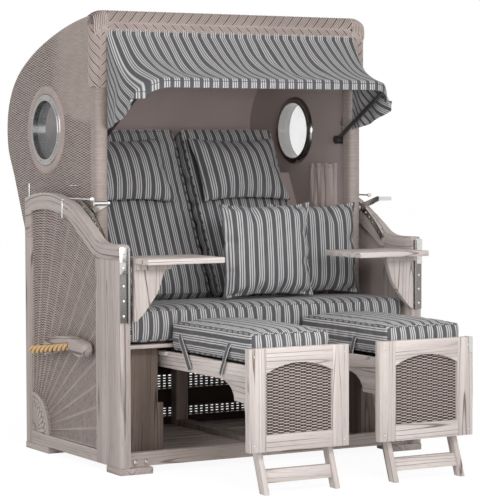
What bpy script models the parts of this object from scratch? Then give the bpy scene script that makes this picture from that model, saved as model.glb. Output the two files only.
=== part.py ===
"""Hooded two-seat beach chair: wooden base with woven panels, reclining wicker hood, awning, tables and footrests.

Metres, +Z up, -Y is the front. Model lengths are measured from the middle of the base at floor level,
and the empty chair_origin shifts the whole chair so that its box is centred on the world's origin.
Outlines called yz hold (y, z) points and are extruded along X; outlines called xz hold (x, z) points.
"""

from math import asin, atan2, cos, hypot, pi, radians, sin, sqrt

import bmesh
import bpy
from mathutils import Matrix, Vector

# Clearances
TOUCH_GAP = 0.0003
RUN_GAP = 0.004
CUT_OVERRUN = 0.012
FUSE_OVERLAP = 0.002

# Base
BASE_HALF_WIDTH = 0.6256
BASE_HALF_DEPTH = 0.4035
FRAME_THICKNESS = 0.040
FOOT_HEIGHT = 0.024
ARM_TOP = 0.798
ARM_CREST_TOP = 0.967
TOP_RAIL_WIDTH = 0.060
FRONT_POST_DEPTH = 0.1935
REAR_STILE_DEPTH = 0.0535
BOTTOM_RAIL_HEIGHT = 0.046
SUNBURST_RADIUS = 0.148
WEAVE_THICKNESS = 0.012
WEAVE_RECESS = 0.010
FOOT_OVERHANG = 0.0025
FOOT_WIDTH = 0.128
FRONT_FOOT_LENGTH = 0.113
REAR_FOOT_LENGTH = 0.205

# Seat box and floor
FRONT_RAIL_HEIGHT = 0.048
FRONT_RAIL_DEPTH = 0.028
FRONT_RAIL_SETBACK = 0.0255
FLOOR_THICKNESS = 0.028
FLOOR_SLOT_DEPTH = 0.012
FLOOR_SLOT_WIDTH = 0.018
FLOOR_SLAT_COUNT = 6
REAR_WALL_TOP = 0.383
REAR_WALL_THICKNESS = 0.0335
REAR_WALL_BORDER = 0.050
REAR_WALL_POCKET = 0.010
FASCIA_SETBACK = 0.0865
FASCIA_THICKNESS = 0.020
FASCIA_STEP_TOP = 0.234
BAY_HALF_WIDTH_LOW = BASE_HALF_WIDTH - 0.2106
BOX_WALL_INNER = BASE_HALF_WIDTH - 0.1886
BOX_WALL_THICKNESS = 0.018
GUIDE_HEIGHT = 0.024
CENTRE_WALL_THICKNESS = 0.050
CENTRE_POST_DEPTH = 0.045
CENTRE_SILL_HEIGHT = 0.020
SEAT_BOARD_TOP = 0.4465
SEAT_BOARD_THICKNESS = 0.012
SEAT_FRONT = 0.0305
SEAT_DEPTH = 0.460
SEAT_CUSHION_HALF_WIDTH = BASE_HALF_WIDTH - 0.0536
SEAT_CUSHION_THICKNESS = 0.118
SEAT_CUSHION_CROWN = 0.008
SEAT_CUSHION_SLOPE = 0.013

# Rope handle
BRACKET_FRONT = 0.218
BRACKET_LENGTH = 0.360
BRACKET_HEIGHT = 0.082
BRACKET_BOTTOM = 0.375
BRACKET_BAND = 0.052
BRACKET_REACH = 0.042
ROPE_DIAMETER = 0.028
ROPE_STANDOFF = 0.0355
ROPE_START = 0.064
ROPE_TURN = 0.250
ROPE_START_HEIGHT = 0.424
ROPE_END_HEIGHT = 0.385
ROPE_SEAT_GAP = 0.0005

# Hood
HOOD_HALF_WIDTH = BASE_HALF_WIDTH - 0.0656
HOOD_WALL = 0.030
HOOD_TOP = 1.620
HOOD_FRONT = 0.092
HOOD_REACH = 0.742
HOOD_SIDE_BOTTOM = 0.585
HOOD_CHEEK_BOTTOM = 0.380
HOOD_CHEEK_FRONT = 0.100
HOOD_CHEEK_REAR = 0.310
RIM_WIDTH = 0.048
RIM_DEPTH = 0.052
RIM_HEAD_HEIGHT = 0.083
RIM_CORNER = 0.050
RIM_BRAID = 0.012
RIM_BRAID_BOTTOM = 1.375
RIM_ROUNDING = 0.018
PIVOT_Y = 0.190
PIVOT_Z = 0.430
PIN_RADIUS = 0.012
PIN_RUN_GAP = 0.0003
PIN_HEAD_RADIUS = 0.030
PIN_HEAD_THICKNESS = 0.010
PIN_COLLAR_RADIUS = 0.024
PIVOT_BATTEN_HEIGHT = 0.056
PIVOT_BATTEN_THICKNESS = 0.017
RECLINE_DEGREES = 25.0

# Portholes
PORTHOLE_Y = 0.345
PORTHOLE_Z = HOOD_TOP - 0.420
PORTHOLE_BORE = 0.110
PORTHOLE_BARREL = 0.1147
PORTHOLE_FLANGE = 0.135
PORTHOLE_FLANGE_OUT = 0.008
PORTHOLE_FLANGE_IN = 0.015
GLASS_THICKNESS = 0.006

# Cushions that ride with the hood
BACK_LEAN = radians(27)
BACK_BOTTOM_Y = 0.045
BACK_BOTTOM_Z = 0.582
BACK_CUSHION_WIDTH = HOOD_HALF_WIDTH - 0.130
BACK_CUSHION_LENGTH = 0.710
BACK_CUSHION_THICKNESS = 0.110
BACK_CUSHION_CROWN = 0.010
BACK_CUSHION_SPLIT = 0.010
BACKREST_THICKNESS = 0.012
BACKREST_DROP = 0.030
BACKREST_LENGTH = 0.560
NECK_WIDTH = BACK_CUSHION_WIDTH - 0.050
NECK_HEIGHT = 0.270
NECK_THICKNESS = 0.090
NECK_DRAW_IN = 0.010
NECK_UP = 0.495
NECK_CENTRE_LEFT = 0.260 - HOOD_HALF_WIDTH
NECK_CENTRE_RIGHT = BACK_CUSHION_WIDTH / 2 - 0.015
POCKET_FRONT = 0.025
POCKET_REAR = 0.225
POCKET_BOTTOM = 0.860
POCKET_TOP = 1.070
POCKET_DEPTH = 0.022

# Throw pillows on the seat
PILLOW_SIZE = 0.385
PILLOW_HEIGHT = 0.350
PILLOW_THICKNESS = 0.105
PILLOW_LEAN = radians(5)
PILLOW_DRAW_IN = 0.014
LEFT_PILLOW_X = 0.065
LEFT_PILLOW_Y = -0.220
LEFT_PILLOW_BOTTOM = 0.580
RIGHT_PILLOW_X = 0.335
RIGHT_PILLOW_Y = -0.112
RIGHT_PILLOW_BOTTOM = 0.574

# Latch rails and levers
RAIL_INNER_RADIUS = 0.525
RAIL_WIDTH = 0.024
RAIL_THICKNESS = 0.004
RAIL_STANDOFF = 0.0023
RAIL_START = radians(107)
RAIL_END = radians(138)
RAIL_HOLE_RADIUS = 0.0055
RAIL_HOLE_COUNT = 9
RAIL_BOSS_RADIUS = 0.008
LEVER_Y = -0.062
LEVER_Z = 0.900
LEVER_LENGTH = 0.142
LEVER_ANGLE = radians(165)
LEVER_WIDTH = 0.020
LEVER_THICKNESS = 0.008
LEVER_HUB_RADIUS = 0.014
LEVER_STANDOFF = 0.006
GRIP_RADIUS = 0.010
GRIP_LENGTH = 0.050
LEVER_LIFT_DEGREES = 50.0

# Awning
AWNING_PIVOT_Y = -0.018
AWNING_PIVOT_Z = 1.162
AWNING_REACH = 0.420
AWNING_RISE = radians(29)
AWNING_HALF_WIDTH = HOOD_HALF_WIDTH - 0.060
AWNING_BAR_RADIUS = 0.008
AWNING_BAR_CORNER = 0.080
AWNING_HUB_RADIUS = 0.016
AWNING_LIFT_DEGREES = 45.0
FABRIC_THICKNESS = 0.004
FABRIC_SIDE_GAP = 0.012
FABRIC_BAR_GAP = 0.002
FABRIC_SAG = 0.020
FABRIC_FOLD = 0.003
FABRIC_FOLD_COUNT = 5
VALANCE_DROP = 0.024
FABRIC_RIM_OVERLAP = 0.022
GUSSET_RIM_BOTTOM = 1.200
GUSSET_SAG = 0.022
GUSSET_FLARE = 0.026

# Tables
TABLE_TOP = 0.753
TABLE_THICKNESS = 0.020
TABLE_INNER = BASE_HALF_WIDTH - 0.3476
TABLE_LENGTH = 0.300
TABLE_FRONT = BASE_HALF_DEPTH + 0.1215
TABLE_DEPTH = 0.240
TABLE_BRACKET_RISE = 0.198
TABLE_BRACKET_REACH = 0.145
TABLE_BRACKET_THICKNESS = 0.022
TABLE_BATTEN = 0.020
TABLE_BATTEN_LENGTH = 0.132
HINGE_LEAF_BOTTOM = 0.530
HINGE_LEAF_TOP = 0.787
HINGE_LEAF_THICKNESS = 0.003
HINGE_BARREL_RADIUS = 0.006
HINGE_OFFSET = 0.009
HINGE_INSET = 0.0316
TABLE_SWING_DEGREES = 90.0

# Footrests
FOOTREST_CENTRE = BASE_HALF_WIDTH / 2 - 0.0598
FOOTREST_FRONT = BASE_HALF_DEPTH + 0.5795
PANEL_HALF_WIDTH = 0.191
PANEL_BOTTOM = 0.139
PANEL_TOP = 0.478
PANEL_THICKNESS = 0.030
STILE_WIDTH = 0.063
PANEL_RAIL = 0.055
PANEL_ARCH_SPRING = 0.395
PANEL_ARCH_CROWN = 0.428
TRAY_HALF_WIDTH = 0.165
TRAY_BOARD = 0.016
TRAY_TOP = 0.418
TRAY_BOTTOM = 0.360
TRAY_PLATFORM_TOP = 0.404
TRAY_PLATFORM_THICKNESS = 0.012
TRAY_CLEAT_FRONT = BASE_HALF_DEPTH - 0.0435
TRAY_CLEAT_REACH = 0.012
TRAY_CLEAT_HEIGHT = 0.014
TRAY_SIDE_GAP = 0.002
TRAY_REAR = BASE_HALF_DEPTH - 0.1835
TRAY_ARC_START = BASE_HALF_DEPTH + 0.3315
TRAY_ARC_LENGTH = 0.100
TRAY_ARC_DROP = 0.066
FOOTREST_CUSHION_CENTRE = FOOTREST_CENTRE + 0.012
FOOTREST_CUSHION_HALF_WIDTH = 0.158
FOOTREST_CUSHION_THICKNESS = 0.114
FOOTREST_CUSHION_CROWN = 0.008
FOOTREST_CUSHION_REAR = BASE_HALF_DEPTH - 0.0235
FOOTREST_TRAVEL = 0.555
LEG_PIVOT_Y = -BASE_HALF_DEPTH - 0.4465
LEG_PIVOT_Z = 0.365
LEG_FOOT_Y = -BASE_HALF_DEPTH - 0.5805
LEG_DEPTH = 0.038
LEG_THICKNESS = 0.018
LEG_RUN_GAP = 0.0045
CROSSBAR_BOTTOM = 0.036
CROSSBAR_HEIGHT = 0.042
CROSSBAR_THICKNESS = 0.020
LEG_FOLD_DEGREES = 110.0

# Segment counts
ROUND_SEGMENTS = 24
SMALL_SEGMENTS = 12
CORNER_STEPS = 5
OUTLINE_STEPS = 3
ROPE_STEPS = 6
FABRIC_SPANS = 6
POCKET_FOLDS = 7
POCKET_ROWS = 8

# Shares of the arm panel's half depth and of its rise from arm to crest, from the rear forwards
ARM_EDGE_SHARES = (
    (1.00, 0.87),
    (0.87, 0.94),
    (0.64, 1.00),
    (0.41, 0.99),
    (0.15, 0.88),
    (-0.03, 0.74),
    (-0.235, 0.48),
    (-0.405, 0.25),
    (-0.525, 0.08),
    (-0.65, 0.006),
    (-0.80, 0.0),
    (-0.97, 0.0),
)

# Shares of the table bracket's reach and drop, from its inner end under the board to its foot at the hinge
TABLE_BRACKET_SHARES = (
    (1.00, 0.00),
    (0.81, 0.13),
    (0.72, 0.31),
    (0.60, 0.53),
    (0.30, 0.82),
    (0.06, 1.00),
)

# Shares of the hood's reach behind the base's middle and of its height above the floor, from the top's front
HOOD_BACK_SHARES = (
    (-0.054, 0.9985),
    (0.132, 0.9880),
    (0.283, 0.9755),
    (0.483, 0.9520),
    (0.684, 0.9195),
    (0.852, 0.8765),
    (0.954, 0.8250),
    (0.998, 0.7600),
    (0.984, 0.6900),
    (0.908, 0.6260),
    (0.805, 0.5280),
    (0.676, 0.4140),
    (0.571, 0.3400),
)

WICKER = ("wicker", (0.36, 0.30, 0.27), 0.65, 0.0)
WOOD = ("whitewashed_wood", (0.56, 0.50, 0.46), 0.70, 0.0)
LINING = ("lining_cloth", (0.20, 0.165, 0.15), 0.85, 0.0)
STRIPE = ("striped_cloth", (0.17, 0.17, 0.18), 0.90, 0.0)
CHROME = ("chrome", (0.80, 0.80, 0.80), 0.12, 1.0)
STEEL = ("dark_steel", (0.10, 0.10, 0.10), 0.45, 0.8)
ROPE = ("rope", (0.79, 0.52, 0.23), 0.80, 0.0)
GLASS = ("clear_glass", (0.85, 0.90, 0.92), 0.05, 0.0)


def clear_scene():
    for old in list(bpy.data.objects):
        bpy.data.objects.remove(old, do_unlink=True)


def finish_material(finish):
    name, colour, roughness, metallic = finish
    found = bpy.data.materials.get(name)
    if found:
        return found
    made = bpy.data.materials.new(name)
    made.use_nodes = True
    shader = made.node_tree.nodes["Principled BSDF"]
    shader.inputs["Base Color"].default_value = (*colour, 1.0)
    shader.inputs["Roughness"].default_value = roughness
    shader.inputs["Metallic"].default_value = metallic
    return made


def add_axis(name, place, parent=None):
    """An empty on a joint's axis, or the chair's own origin."""
    axis = bpy.data.objects.new(name, None)
    bpy.context.scene.collection.objects.link(axis)
    axis["model_place"] = place
    axis.parent = parent
    start = Vector(parent["model_place"]) if parent else Vector((0, 0, 0))
    axis.location = Vector(place) - start
    return axis


def add_piece(name, mesh_data, finish, axis, smooth=True):
    """One solid piece whose mesh is in model lengths, carried by the empty called axis."""
    bmesh.ops.recalc_face_normals(mesh_data, faces=mesh_data.faces)
    if mesh_data.calc_volume(signed=True) < 0:
        bmesh.ops.reverse_faces(mesh_data, faces=mesh_data.faces)
    mesh = bpy.data.meshes.new(name)
    mesh_data.to_mesh(mesh)
    mesh_data.free()
    if smooth:
        mesh.shade_smooth()
        mesh.set_sharp_from_angle(angle=radians(35))
    mesh.materials.append(finish_material(finish))
    piece = bpy.data.objects.new(name, mesh)
    bpy.context.scene.collection.objects.link(piece)
    piece.parent = axis
    piece.location = -Vector(axis["model_place"])
    return piece


def shape_with(piece, mesh_data, operation, name):
    """A Boolean with a hidden helper: DIFFERENCE cuts, UNION fuses."""
    helper = add_piece(name, mesh_data, WOOD, piece.parent, smooth=False)
    helper.hide_render = True
    helper.display_type = "WIRE"
    step = piece.modifiers.new(name, "BOOLEAN")
    step.operation = operation
    step.object = helper
    step.solver = "EXACT"
    return helper


def cut(piece, mesh_data, name="cut"):
    return shape_with(piece, mesh_data, "DIFFERENCE", piece.name + "_" + name)


def fuse(piece, mesh_data, name="fused"):
    return shape_with(piece, mesh_data, "UNION", piece.name + "_" + name)


def extrude_outline(corners, travel):
    mesh_data = bmesh.new()
    face = mesh_data.faces.new([mesh_data.verts.new(corner) for corner in corners])
    moved = bmesh.ops.extrude_face_region(mesh_data, geom=[face])["geom"]
    bmesh.ops.translate(mesh_data, verts=[v for v in moved if isinstance(v, bmesh.types.BMVert)], vec=travel)
    return mesh_data


def slab_x(yz, x_from, x_to):
    """The outline yz extruded along X."""
    low, high = sorted((x_from, x_to))
    return extrude_outline([(low, y, z) for y, z in yz], Vector((high - low, 0, 0)))


def slab_y(xz, y_from, y_to):
    """The outline xz extruded along Y."""
    low, high = sorted((y_from, y_to))
    return extrude_outline([(x, low, z) for x, z in xz], Vector((0, high - low, 0)))


def slab_z(xy, z_from, z_to):
    """The outline xy extruded along Z."""
    low, high = sorted((z_from, z_to))
    return extrude_outline([(x, y, low) for x, y in xy], Vector((0, 0, high - low)))


def block(x_range, y_range, z_range):
    (y_low, y_high), (z_low, z_high) = sorted(y_range), sorted(z_range)
    return slab_x([(y_low, z_low), (y_high, z_low), (y_high, z_high), (y_low, z_high)], *x_range)


def arc(centre, radius, start, end, steps=CORNER_STEPS):
    """Points along an arc, both ends included."""
    angles = [start + (end - start) * step / steps for step in range(steps + 1)]
    return [(centre[0] + radius * cos(angle), centre[1] + radius * sin(angle)) for angle in angles]


def circle(centre, radius, segments=ROUND_SEGMENTS):
    return arc(centre, radius, 0.0, 2 * pi * (segments - 1) / segments, segments - 1)


def smooth_line(points, steps=OUTLINE_STEPS):
    """A Catmull-Rom curve through the points, both ends included."""
    padded = [points[0], *points, points[-1]]
    line = []
    for before, here, there, after in zip(padded, padded[1:], padded[2:], padded[3:]):
        for step in range(steps):
            t = step / steps
            line.append(
                tuple(
                    ((2 * b) + (c - a) * t + (2 * a - 5 * b + 4 * c - d) * t**2 + (3 * b - a - 3 * c + d) * t**3) / 2
                    for a, b, c, d in zip(before, here, there, after)
                )
            )
    return line + [tuple(points[-1])]


def offset_line(points, distance):
    """The open line moved to its left by distance, as seen along its own direction."""
    moved = []
    for index, point in enumerate(points):
        before = points[max(index - 1, 0)]
        after = points[min(index + 1, len(points) - 1)]
        run, rise = after[0] - before[0], after[1] - before[1]
        length = hypot(run, rise)
        moved.append((point[0] - distance * rise / length, point[1] + distance * run / length))
    return moved


def inset_outline(points, distance):
    """The closed counter-clockwise outline drawn in by distance."""
    count = len(points)
    moved = []
    for index, point in enumerate(points):
        before, after = points[index - 1], points[(index + 1) % count]
        first = Vector((point[0] - before[0], point[1] - before[1])).normalized()
        second = Vector((after[0] - point[0], after[1] - point[1])).normalized()
        normals = Vector((-first.y, first.x)), Vector((-second.y, second.x))
        bisector = (normals[0] + normals[1]).normalized()
        reach = distance / max(bisector.dot(normals[0]), 0.5)
        moved.append((point[0] + bisector.x * reach, point[1] + bisector.y * reach))
    return moved


def turned_x(profile, centre, closed=False, segments=ROUND_SEGMENTS):
    """A turned piece about an X axis through centre (y, z); the profile holds (x, radius) points."""
    mesh_data = bmesh.new()
    rings = [
        [mesh_data.verts.new((x, y, z)) for y, z in circle(centre, radius, segments)] for x, radius in profile
    ]
    pairs = list(zip(rings, rings[1:]))
    if closed:
        pairs.append((rings[-1], rings[0]))
    for first, second in pairs:
        for index in range(segments):
            following = (index + 1) % segments
            mesh_data.faces.new((first[index], first[following], second[following], second[index]))
    if not closed:
        mesh_data.faces.new(rings[0])
        mesh_data.faces.new(rings[-1])
    return mesh_data


def tube(points, radius, segments=SMALL_SEGMENTS):
    """A round bar along points, with flat ends."""
    mesh_data = bmesh.new()
    points = [Vector(point) for point in points]
    rings = []
    side = None
    for index, point in enumerate(points):
        ahead = (points[min(index + 1, len(points) - 1)] - points[max(index - 1, 0)]).normalized()
        side = ahead.orthogonal() if side is None else side - ahead * side.dot(ahead)
        side.normalize()
        up = ahead.cross(side)
        turns = [2 * pi * step / segments for step in range(segments)]
        rings.append([mesh_data.verts.new(point + radius * (side * cos(a) + up * sin(a))) for a in turns])
    for first, second in zip(rings, rings[1:]):
        for index in range(segments):
            following = (index + 1) % segments
            mesh_data.faces.new((first[index], first[following], second[following], second[index]))
    mesh_data.faces.new(rings[0])
    mesh_data.faces.new(rings[-1])
    return mesh_data


def cushion(width, length, thickness, crown=0.0, draw_in=0.0, squareness=8.0, flat_bottom=False, cuts=7):
    """A padded form about its own centre: a crowned, rounded box whose long sides draw in between the corners."""
    mesh_data = bmesh.new()
    bmesh.ops.create_cube(mesh_data, size=2)
    bmesh.ops.subdivide_edges(mesh_data, edges=mesh_data.edges[:], cuts=cuts, use_grid_fill=True)
    for vert in mesh_data.verts:
        u, v, w = vert.co
        norm = sum(abs(part) ** squareness for part in (u, v, w)) ** (1 / squareness)
        u, v, w = u / norm, v / norm, w / norm
        swell = (1 - u * u) * (1 - v * v)
        rise = 0.0 if flat_bottom and w < 0 else crown * swell * w
        vert.co.x = u * (width / 2 - draw_in * (1 - v * v))
        vert.co.y = v * (length / 2 - draw_in * (1 - u * u))
        vert.co.z = w * thickness / 2 + rise
    return mesh_data


def pillow(width, height, thickness, draw_in, cuts=9):
    """A knife-edged pillow about its own centre, thick in the middle, with pointed corners."""
    mesh_data = bmesh.new()
    bmesh.ops.create_grid(mesh_data, x_segments=cuts, y_segments=cuts, size=1)
    back = bmesh.ops.duplicate(mesh_data, geom=mesh_data.faces[:] + mesh_data.edges[:] + mesh_data.verts[:])
    back_verts = {v for v in back["geom"] if isinstance(v, bmesh.types.BMVert)}
    for vert in mesh_data.verts:
        u, v = vert.co.x, vert.co.y
        puff = sqrt(max((1 - u**4) * (1 - v**4), 0.0))
        side = -1 if vert in back_verts else 1
        vert.co.x = u * (width / 2 - draw_in * (1 - v * v))
        vert.co.z = v * (height / 2 - draw_in * (1 - u * u))
        vert.co.y = side * puff * thickness / 2
    bmesh.ops.remove_doubles(mesh_data, verts=mesh_data.verts, dist=TOUCH_GAP / 3)
    return mesh_data


def placed(mesh_data, place, tilt=0.0):
    """Tilts the form back about X and moves it to its place."""
    bmesh.ops.rotate(mesh_data, verts=mesh_data.verts, cent=(0, 0, 0), matrix=Matrix.Rotation(-tilt, 3, "X"))
    bmesh.ops.translate(mesh_data, verts=mesh_data.verts, vec=place)
    return mesh_data


# Lengths that follow from the driving dimensions
frame_inner = BASE_HALF_WIDTH - FRAME_THICKNESS
opening_front = -BASE_HALF_DEPTH + FRONT_POST_DEPTH
opening_rear = BASE_HALF_DEPTH - REAR_STILE_DEPTH
opening_bottom = FOOT_HEIGHT + BOTTOM_RAIL_HEIGHT
floor_bottom = FOOT_HEIGHT + TOUCH_GAP
floor_top = floor_bottom + FLOOR_THICKNESS
seat_board_bottom = SEAT_BOARD_TOP - SEAT_BOARD_THICKNESS
seat_front = -BASE_HALF_DEPTH + SEAT_FRONT
seat_rear = seat_front + SEAT_DEPTH
fascia_front = -BASE_HALF_DEPTH + FASCIA_SETBACK
rear_wall_front = BASE_HALF_DEPTH - REAR_WALL_THICKNESS
inner_wall = HOOD_HALF_WIDTH - HOOD_WALL
rim_rear = -HOOD_FRONT + RIM_DEPTH
guide_top = TRAY_TOP - TRAY_CLEAT_HEIGHT - TOUCH_GAP
back_up = Vector((0, sin(BACK_LEAN), cos(BACK_LEAN)))
back_normal = Vector((0, cos(BACK_LEAN), -sin(BACK_LEAN)))
back_bottom = Vector((0, BACK_BOTTOM_Y, BACK_BOTTOM_Z))

arm_rise = ARM_CREST_TOP - ARM_TOP
arm_edge = smooth_line([(y * BASE_HALF_DEPTH, ARM_TOP + z * arm_rise) for y, z in ARM_EDGE_SHARES])
hood_back = smooth_line([(y * HOOD_REACH, z * HOOD_TOP) for y, z in HOOD_BACK_SHARES])
hood_back[0] = (rim_rear + TOUCH_GAP, hood_back[0][1])

leg_half_foot = LEG_DEPTH / 2
front_reach = LEG_FOOT_Y - leg_half_foot
rear_reach = max(y for y, z in hood_back)
middle_y = (front_reach + rear_reach) / 2


def arm_panel_outline():
    front_top = arm_edge[-1][1]
    lower = [(-BASE_HALF_DEPTH, FOOT_HEIGHT), (BASE_HALF_DEPTH, FOOT_HEIGHT)]
    nose = (-BASE_HALF_DEPTH, front_top - (arm_edge[-1][0] + BASE_HALF_DEPTH))
    return lower + arm_edge + [nose]


def weave_outline():
    """The opening in the arm panel, with the carved quarter disc left standing in its lower rear corner."""
    inner_edge = [
        point for point in offset_line(arm_edge, TOP_RAIL_WIDTH) if opening_front < point[0] < opening_rear
    ]
    rear_top = (opening_rear, inner_edge[0][1])
    front_top = (opening_front, inner_edge[-1][1])
    carving = arc((opening_rear, opening_bottom), SUNBURST_RADIUS, pi, pi / 2, 2 * CORNER_STEPS)
    return [(opening_front, opening_bottom)] + carving + [rear_top] + inner_edge + [front_top]


def side_frame(side, name, axis):
    """Post, stile, rails and carved corner glued up as one panel, with the batten that holds the hood's pin."""
    outer, inner = side * BASE_HALF_WIDTH, side * frame_inner
    frame = add_piece("side_frame_" + name, slab_x(arm_panel_outline(), inner, outer), WOOD, axis)
    past = side * CUT_OVERRUN
    cut(frame, slab_x(weave_outline(), inner - past, outer + past), "opening")
    batten_low = PIVOT_Z - PIVOT_BATTEN_HEIGHT / 2
    batten = block(
        (inner, inner + side * PIVOT_BATTEN_THICKNESS),
        (opening_front - FUSE_OVERLAP, opening_rear + FUSE_OVERLAP),
        (batten_low, batten_low + PIVOT_BATTEN_HEIGHT),
    )
    fuse(frame, batten, "batten")
    pin_hole = circle((PIVOT_Y, PIVOT_Z), PIN_RADIUS + PIN_RUN_GAP)
    cut(frame, slab_x(pin_hole, inner - past, inner + side * PIVOT_BATTEN_THICKNESS + past), "pin_hole")


def side_weave(side, name, axis):
    outer = side * (BASE_HALF_WIDTH - WEAVE_RECESS)
    inner = outer - side * WEAVE_THICKNESS
    weave = slab_x(inset_outline(weave_outline()[::-1][::-1], TOUCH_GAP), inner, outer)
    add_piece("side_weave_" + name, weave, WICKER, axis)


def foot(side, name, y_from, length, axis):
    outer = BASE_HALF_WIDTH + FOOT_OVERHANG
    add_piece(
        name,
        block(
            (side * (outer - FOOT_WIDTH), side * outer), (y_from, y_from + length), (0, FOOT_HEIGHT - TOUCH_GAP)
        ),
        WOOD,
        axis,
    )


def front_rail(axis):
    front = -BASE_HALF_DEPTH + FRONT_RAIL_SETBACK
    half = frame_inner - TOUCH_GAP
    rail = block(
        (-half, half), (front, front + FRONT_RAIL_DEPTH), (floor_bottom, floor_bottom + FRONT_RAIL_HEIGHT)
    )
    add_piece("front_rail", rail, WOOD, axis)


def floor_slats(axis):
    """Slats on a thin underlay: a comb outline run across the chair."""
    front = -BASE_HALF_DEPTH + FRONT_RAIL_SETBACK + FRONT_RAIL_DEPTH + TOUCH_GAP
    rear = rear_wall_front - TOUCH_GAP
    pitch = (rear - front + FLOOR_SLOT_WIDTH) / FLOOR_SLAT_COUNT
    slot_floor = floor_top - FLOOR_SLOT_DEPTH
    comb = [(rear, floor_bottom), (front, floor_bottom)]
    for index in range(FLOOR_SLAT_COUNT):
        start = front + index * pitch
        end = start + pitch - FLOOR_SLOT_WIDTH
        comb += [(start, floor_top), (end, floor_top)]
        if index < FLOOR_SLAT_COUNT - 1:
            comb += [(end, slot_floor), (end + FLOOR_SLOT_WIDTH, slot_floor)]
    half = frame_inner - TOUCH_GAP
    add_piece("floor_slats", slab_x(comb, -half, half), WOOD, axis)


def rear_wall(axis):
    """A framed woven wall with two sunk fields on its outside."""
    half = frame_inner - TOUCH_GAP
    wall = add_piece(
        "rear_wall",
        block((-half, half), (rear_wall_front, BASE_HALF_DEPTH), (floor_bottom, REAR_WALL_TOP)),
        WICKER,
        axis,
    )
    for side, name in ((-1, "left"), (1, "right")):
        field = block(
            (side * REAR_WALL_BORDER / 2, side * (half - REAR_WALL_BORDER)),
            (BASE_HALF_DEPTH - REAR_WALL_POCKET, BASE_HALF_DEPTH + CUT_OVERRUN),
            (floor_bottom + REAR_WALL_BORDER, REAR_WALL_TOP - REAR_WALL_BORDER),
        )
        cut(wall, field, "field_" + name)


def seat_box_side(side, name, axis):
    """Front fascia with its step, the box wall behind it and the guide that carries the footrest."""
    low = floor_top + TOUCH_GAP
    high = seat_board_bottom - TOUCH_GAP
    outer = side * (frame_inner - TOUCH_GAP)
    wall_inner = side * BOX_WALL_INNER
    step = side * BAY_HALF_WIDTH_LOW
    face = [
        (outer, low),
        (step, low),
        (step, FASCIA_STEP_TOP),
        (wall_inner, FASCIA_STEP_TOP),
        (wall_inner, high),
        (outer, high),
    ]
    piece = add_piece(
        "seat_box_side_" + name, slab_y(face, fascia_front, fascia_front + FASCIA_THICKNESS), WOOD, axis
    )
    wall_outer = wall_inner + side * BOX_WALL_THICKNESS
    guide_inner = side * (FOOTREST_CENTRE + TRAY_HALF_WIDTH + TRAY_SIDE_GAP)
    section = [
        (wall_outer, low),
        (wall_inner, low),
        (wall_inner, guide_top - GUIDE_HEIGHT),
        (guide_inner, guide_top - GUIDE_HEIGHT),
        (guide_inner, guide_top),
        (wall_inner, guide_top),
        (wall_inner, high),
        (wall_outer, high),
    ]
    wall_front = fascia_front + FASCIA_THICKNESS - FUSE_OVERLAP
    fuse(piece, slab_y(section, wall_front, rear_wall_front - TOUCH_GAP), "wall")


def footrest_guide(axis):
    """An open frame between the two bays, with a guide on each side."""
    low = floor_top + TOUCH_GAP
    high = seat_board_bottom - TOUCH_GAP
    half = CENTRE_WALL_THICKNESS / 2
    reach = FOOTREST_CENTRE - TRAY_HALF_WIDTH - TRAY_SIDE_GAP
    right = [
        (half, low),
        (half, guide_top - GUIDE_HEIGHT),
        (reach, guide_top - GUIDE_HEIGHT),
        (reach, guide_top),
        (half, guide_top),
        (half, high),
    ]
    section = right + [(-x, z) for x, z in reversed(right)]
    wall = slab_y(section, fascia_front, rear_wall_front - TOUCH_GAP)
    frame = add_piece("footrest_guide", wall, WOOD, axis)
    past = half + CUT_OVERRUN
    passage = block(
        (-past, past),
        (fascia_front + CENTRE_POST_DEPTH, rear_wall_front - TOUCH_GAP - CENTRE_POST_DEPTH),
        (low + CENTRE_SILL_HEIGHT, guide_top - GUIDE_HEIGHT - CENTRE_SILL_HEIGHT),
    )
    cut(frame, passage, "passage")


def seat(axis):
    half = frame_inner - TOUCH_GAP
    board = block((-half, half), (seat_front, seat_rear), (seat_board_bottom, SEAT_BOARD_TOP))
    add_piece("seat_board", board, WOOD, axis)
    form = cushion(
        2 * SEAT_CUSHION_HALF_WIDTH,
        SEAT_DEPTH,
        SEAT_CUSHION_THICKNESS,
        crown=SEAT_CUSHION_CROWN,
        draw_in=SEAT_CUSHION_CROWN / 4,
        squareness=28.0,
        flat_bottom=True,
        cuts=8,
    )
    for vert in form.verts:
        above = vert.co.z / SEAT_CUSHION_THICKNESS + 1 / 2
        vert.co.z -= above * SEAT_CUSHION_SLOPE * 2 * vert.co.y / SEAT_DEPTH
    middle_z = SEAT_BOARD_TOP + TOUCH_GAP + SEAT_CUSHION_THICKNESS / 2
    add_piece("seat_cushion", placed(form, (0, (seat_front + seat_rear) / 2, middle_z)), STRIPE, axis)


def rope_line(y):
    """The height of the rope's middle at y: it falls from the arm to the hole in the panel."""
    t = min((y + ROPE_START) / (ROPE_TURN + ROPE_START), 1.0)
    return ROPE_START_HEIGHT + (ROPE_END_HEIGHT - ROPE_START_HEIGHT) * t


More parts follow.
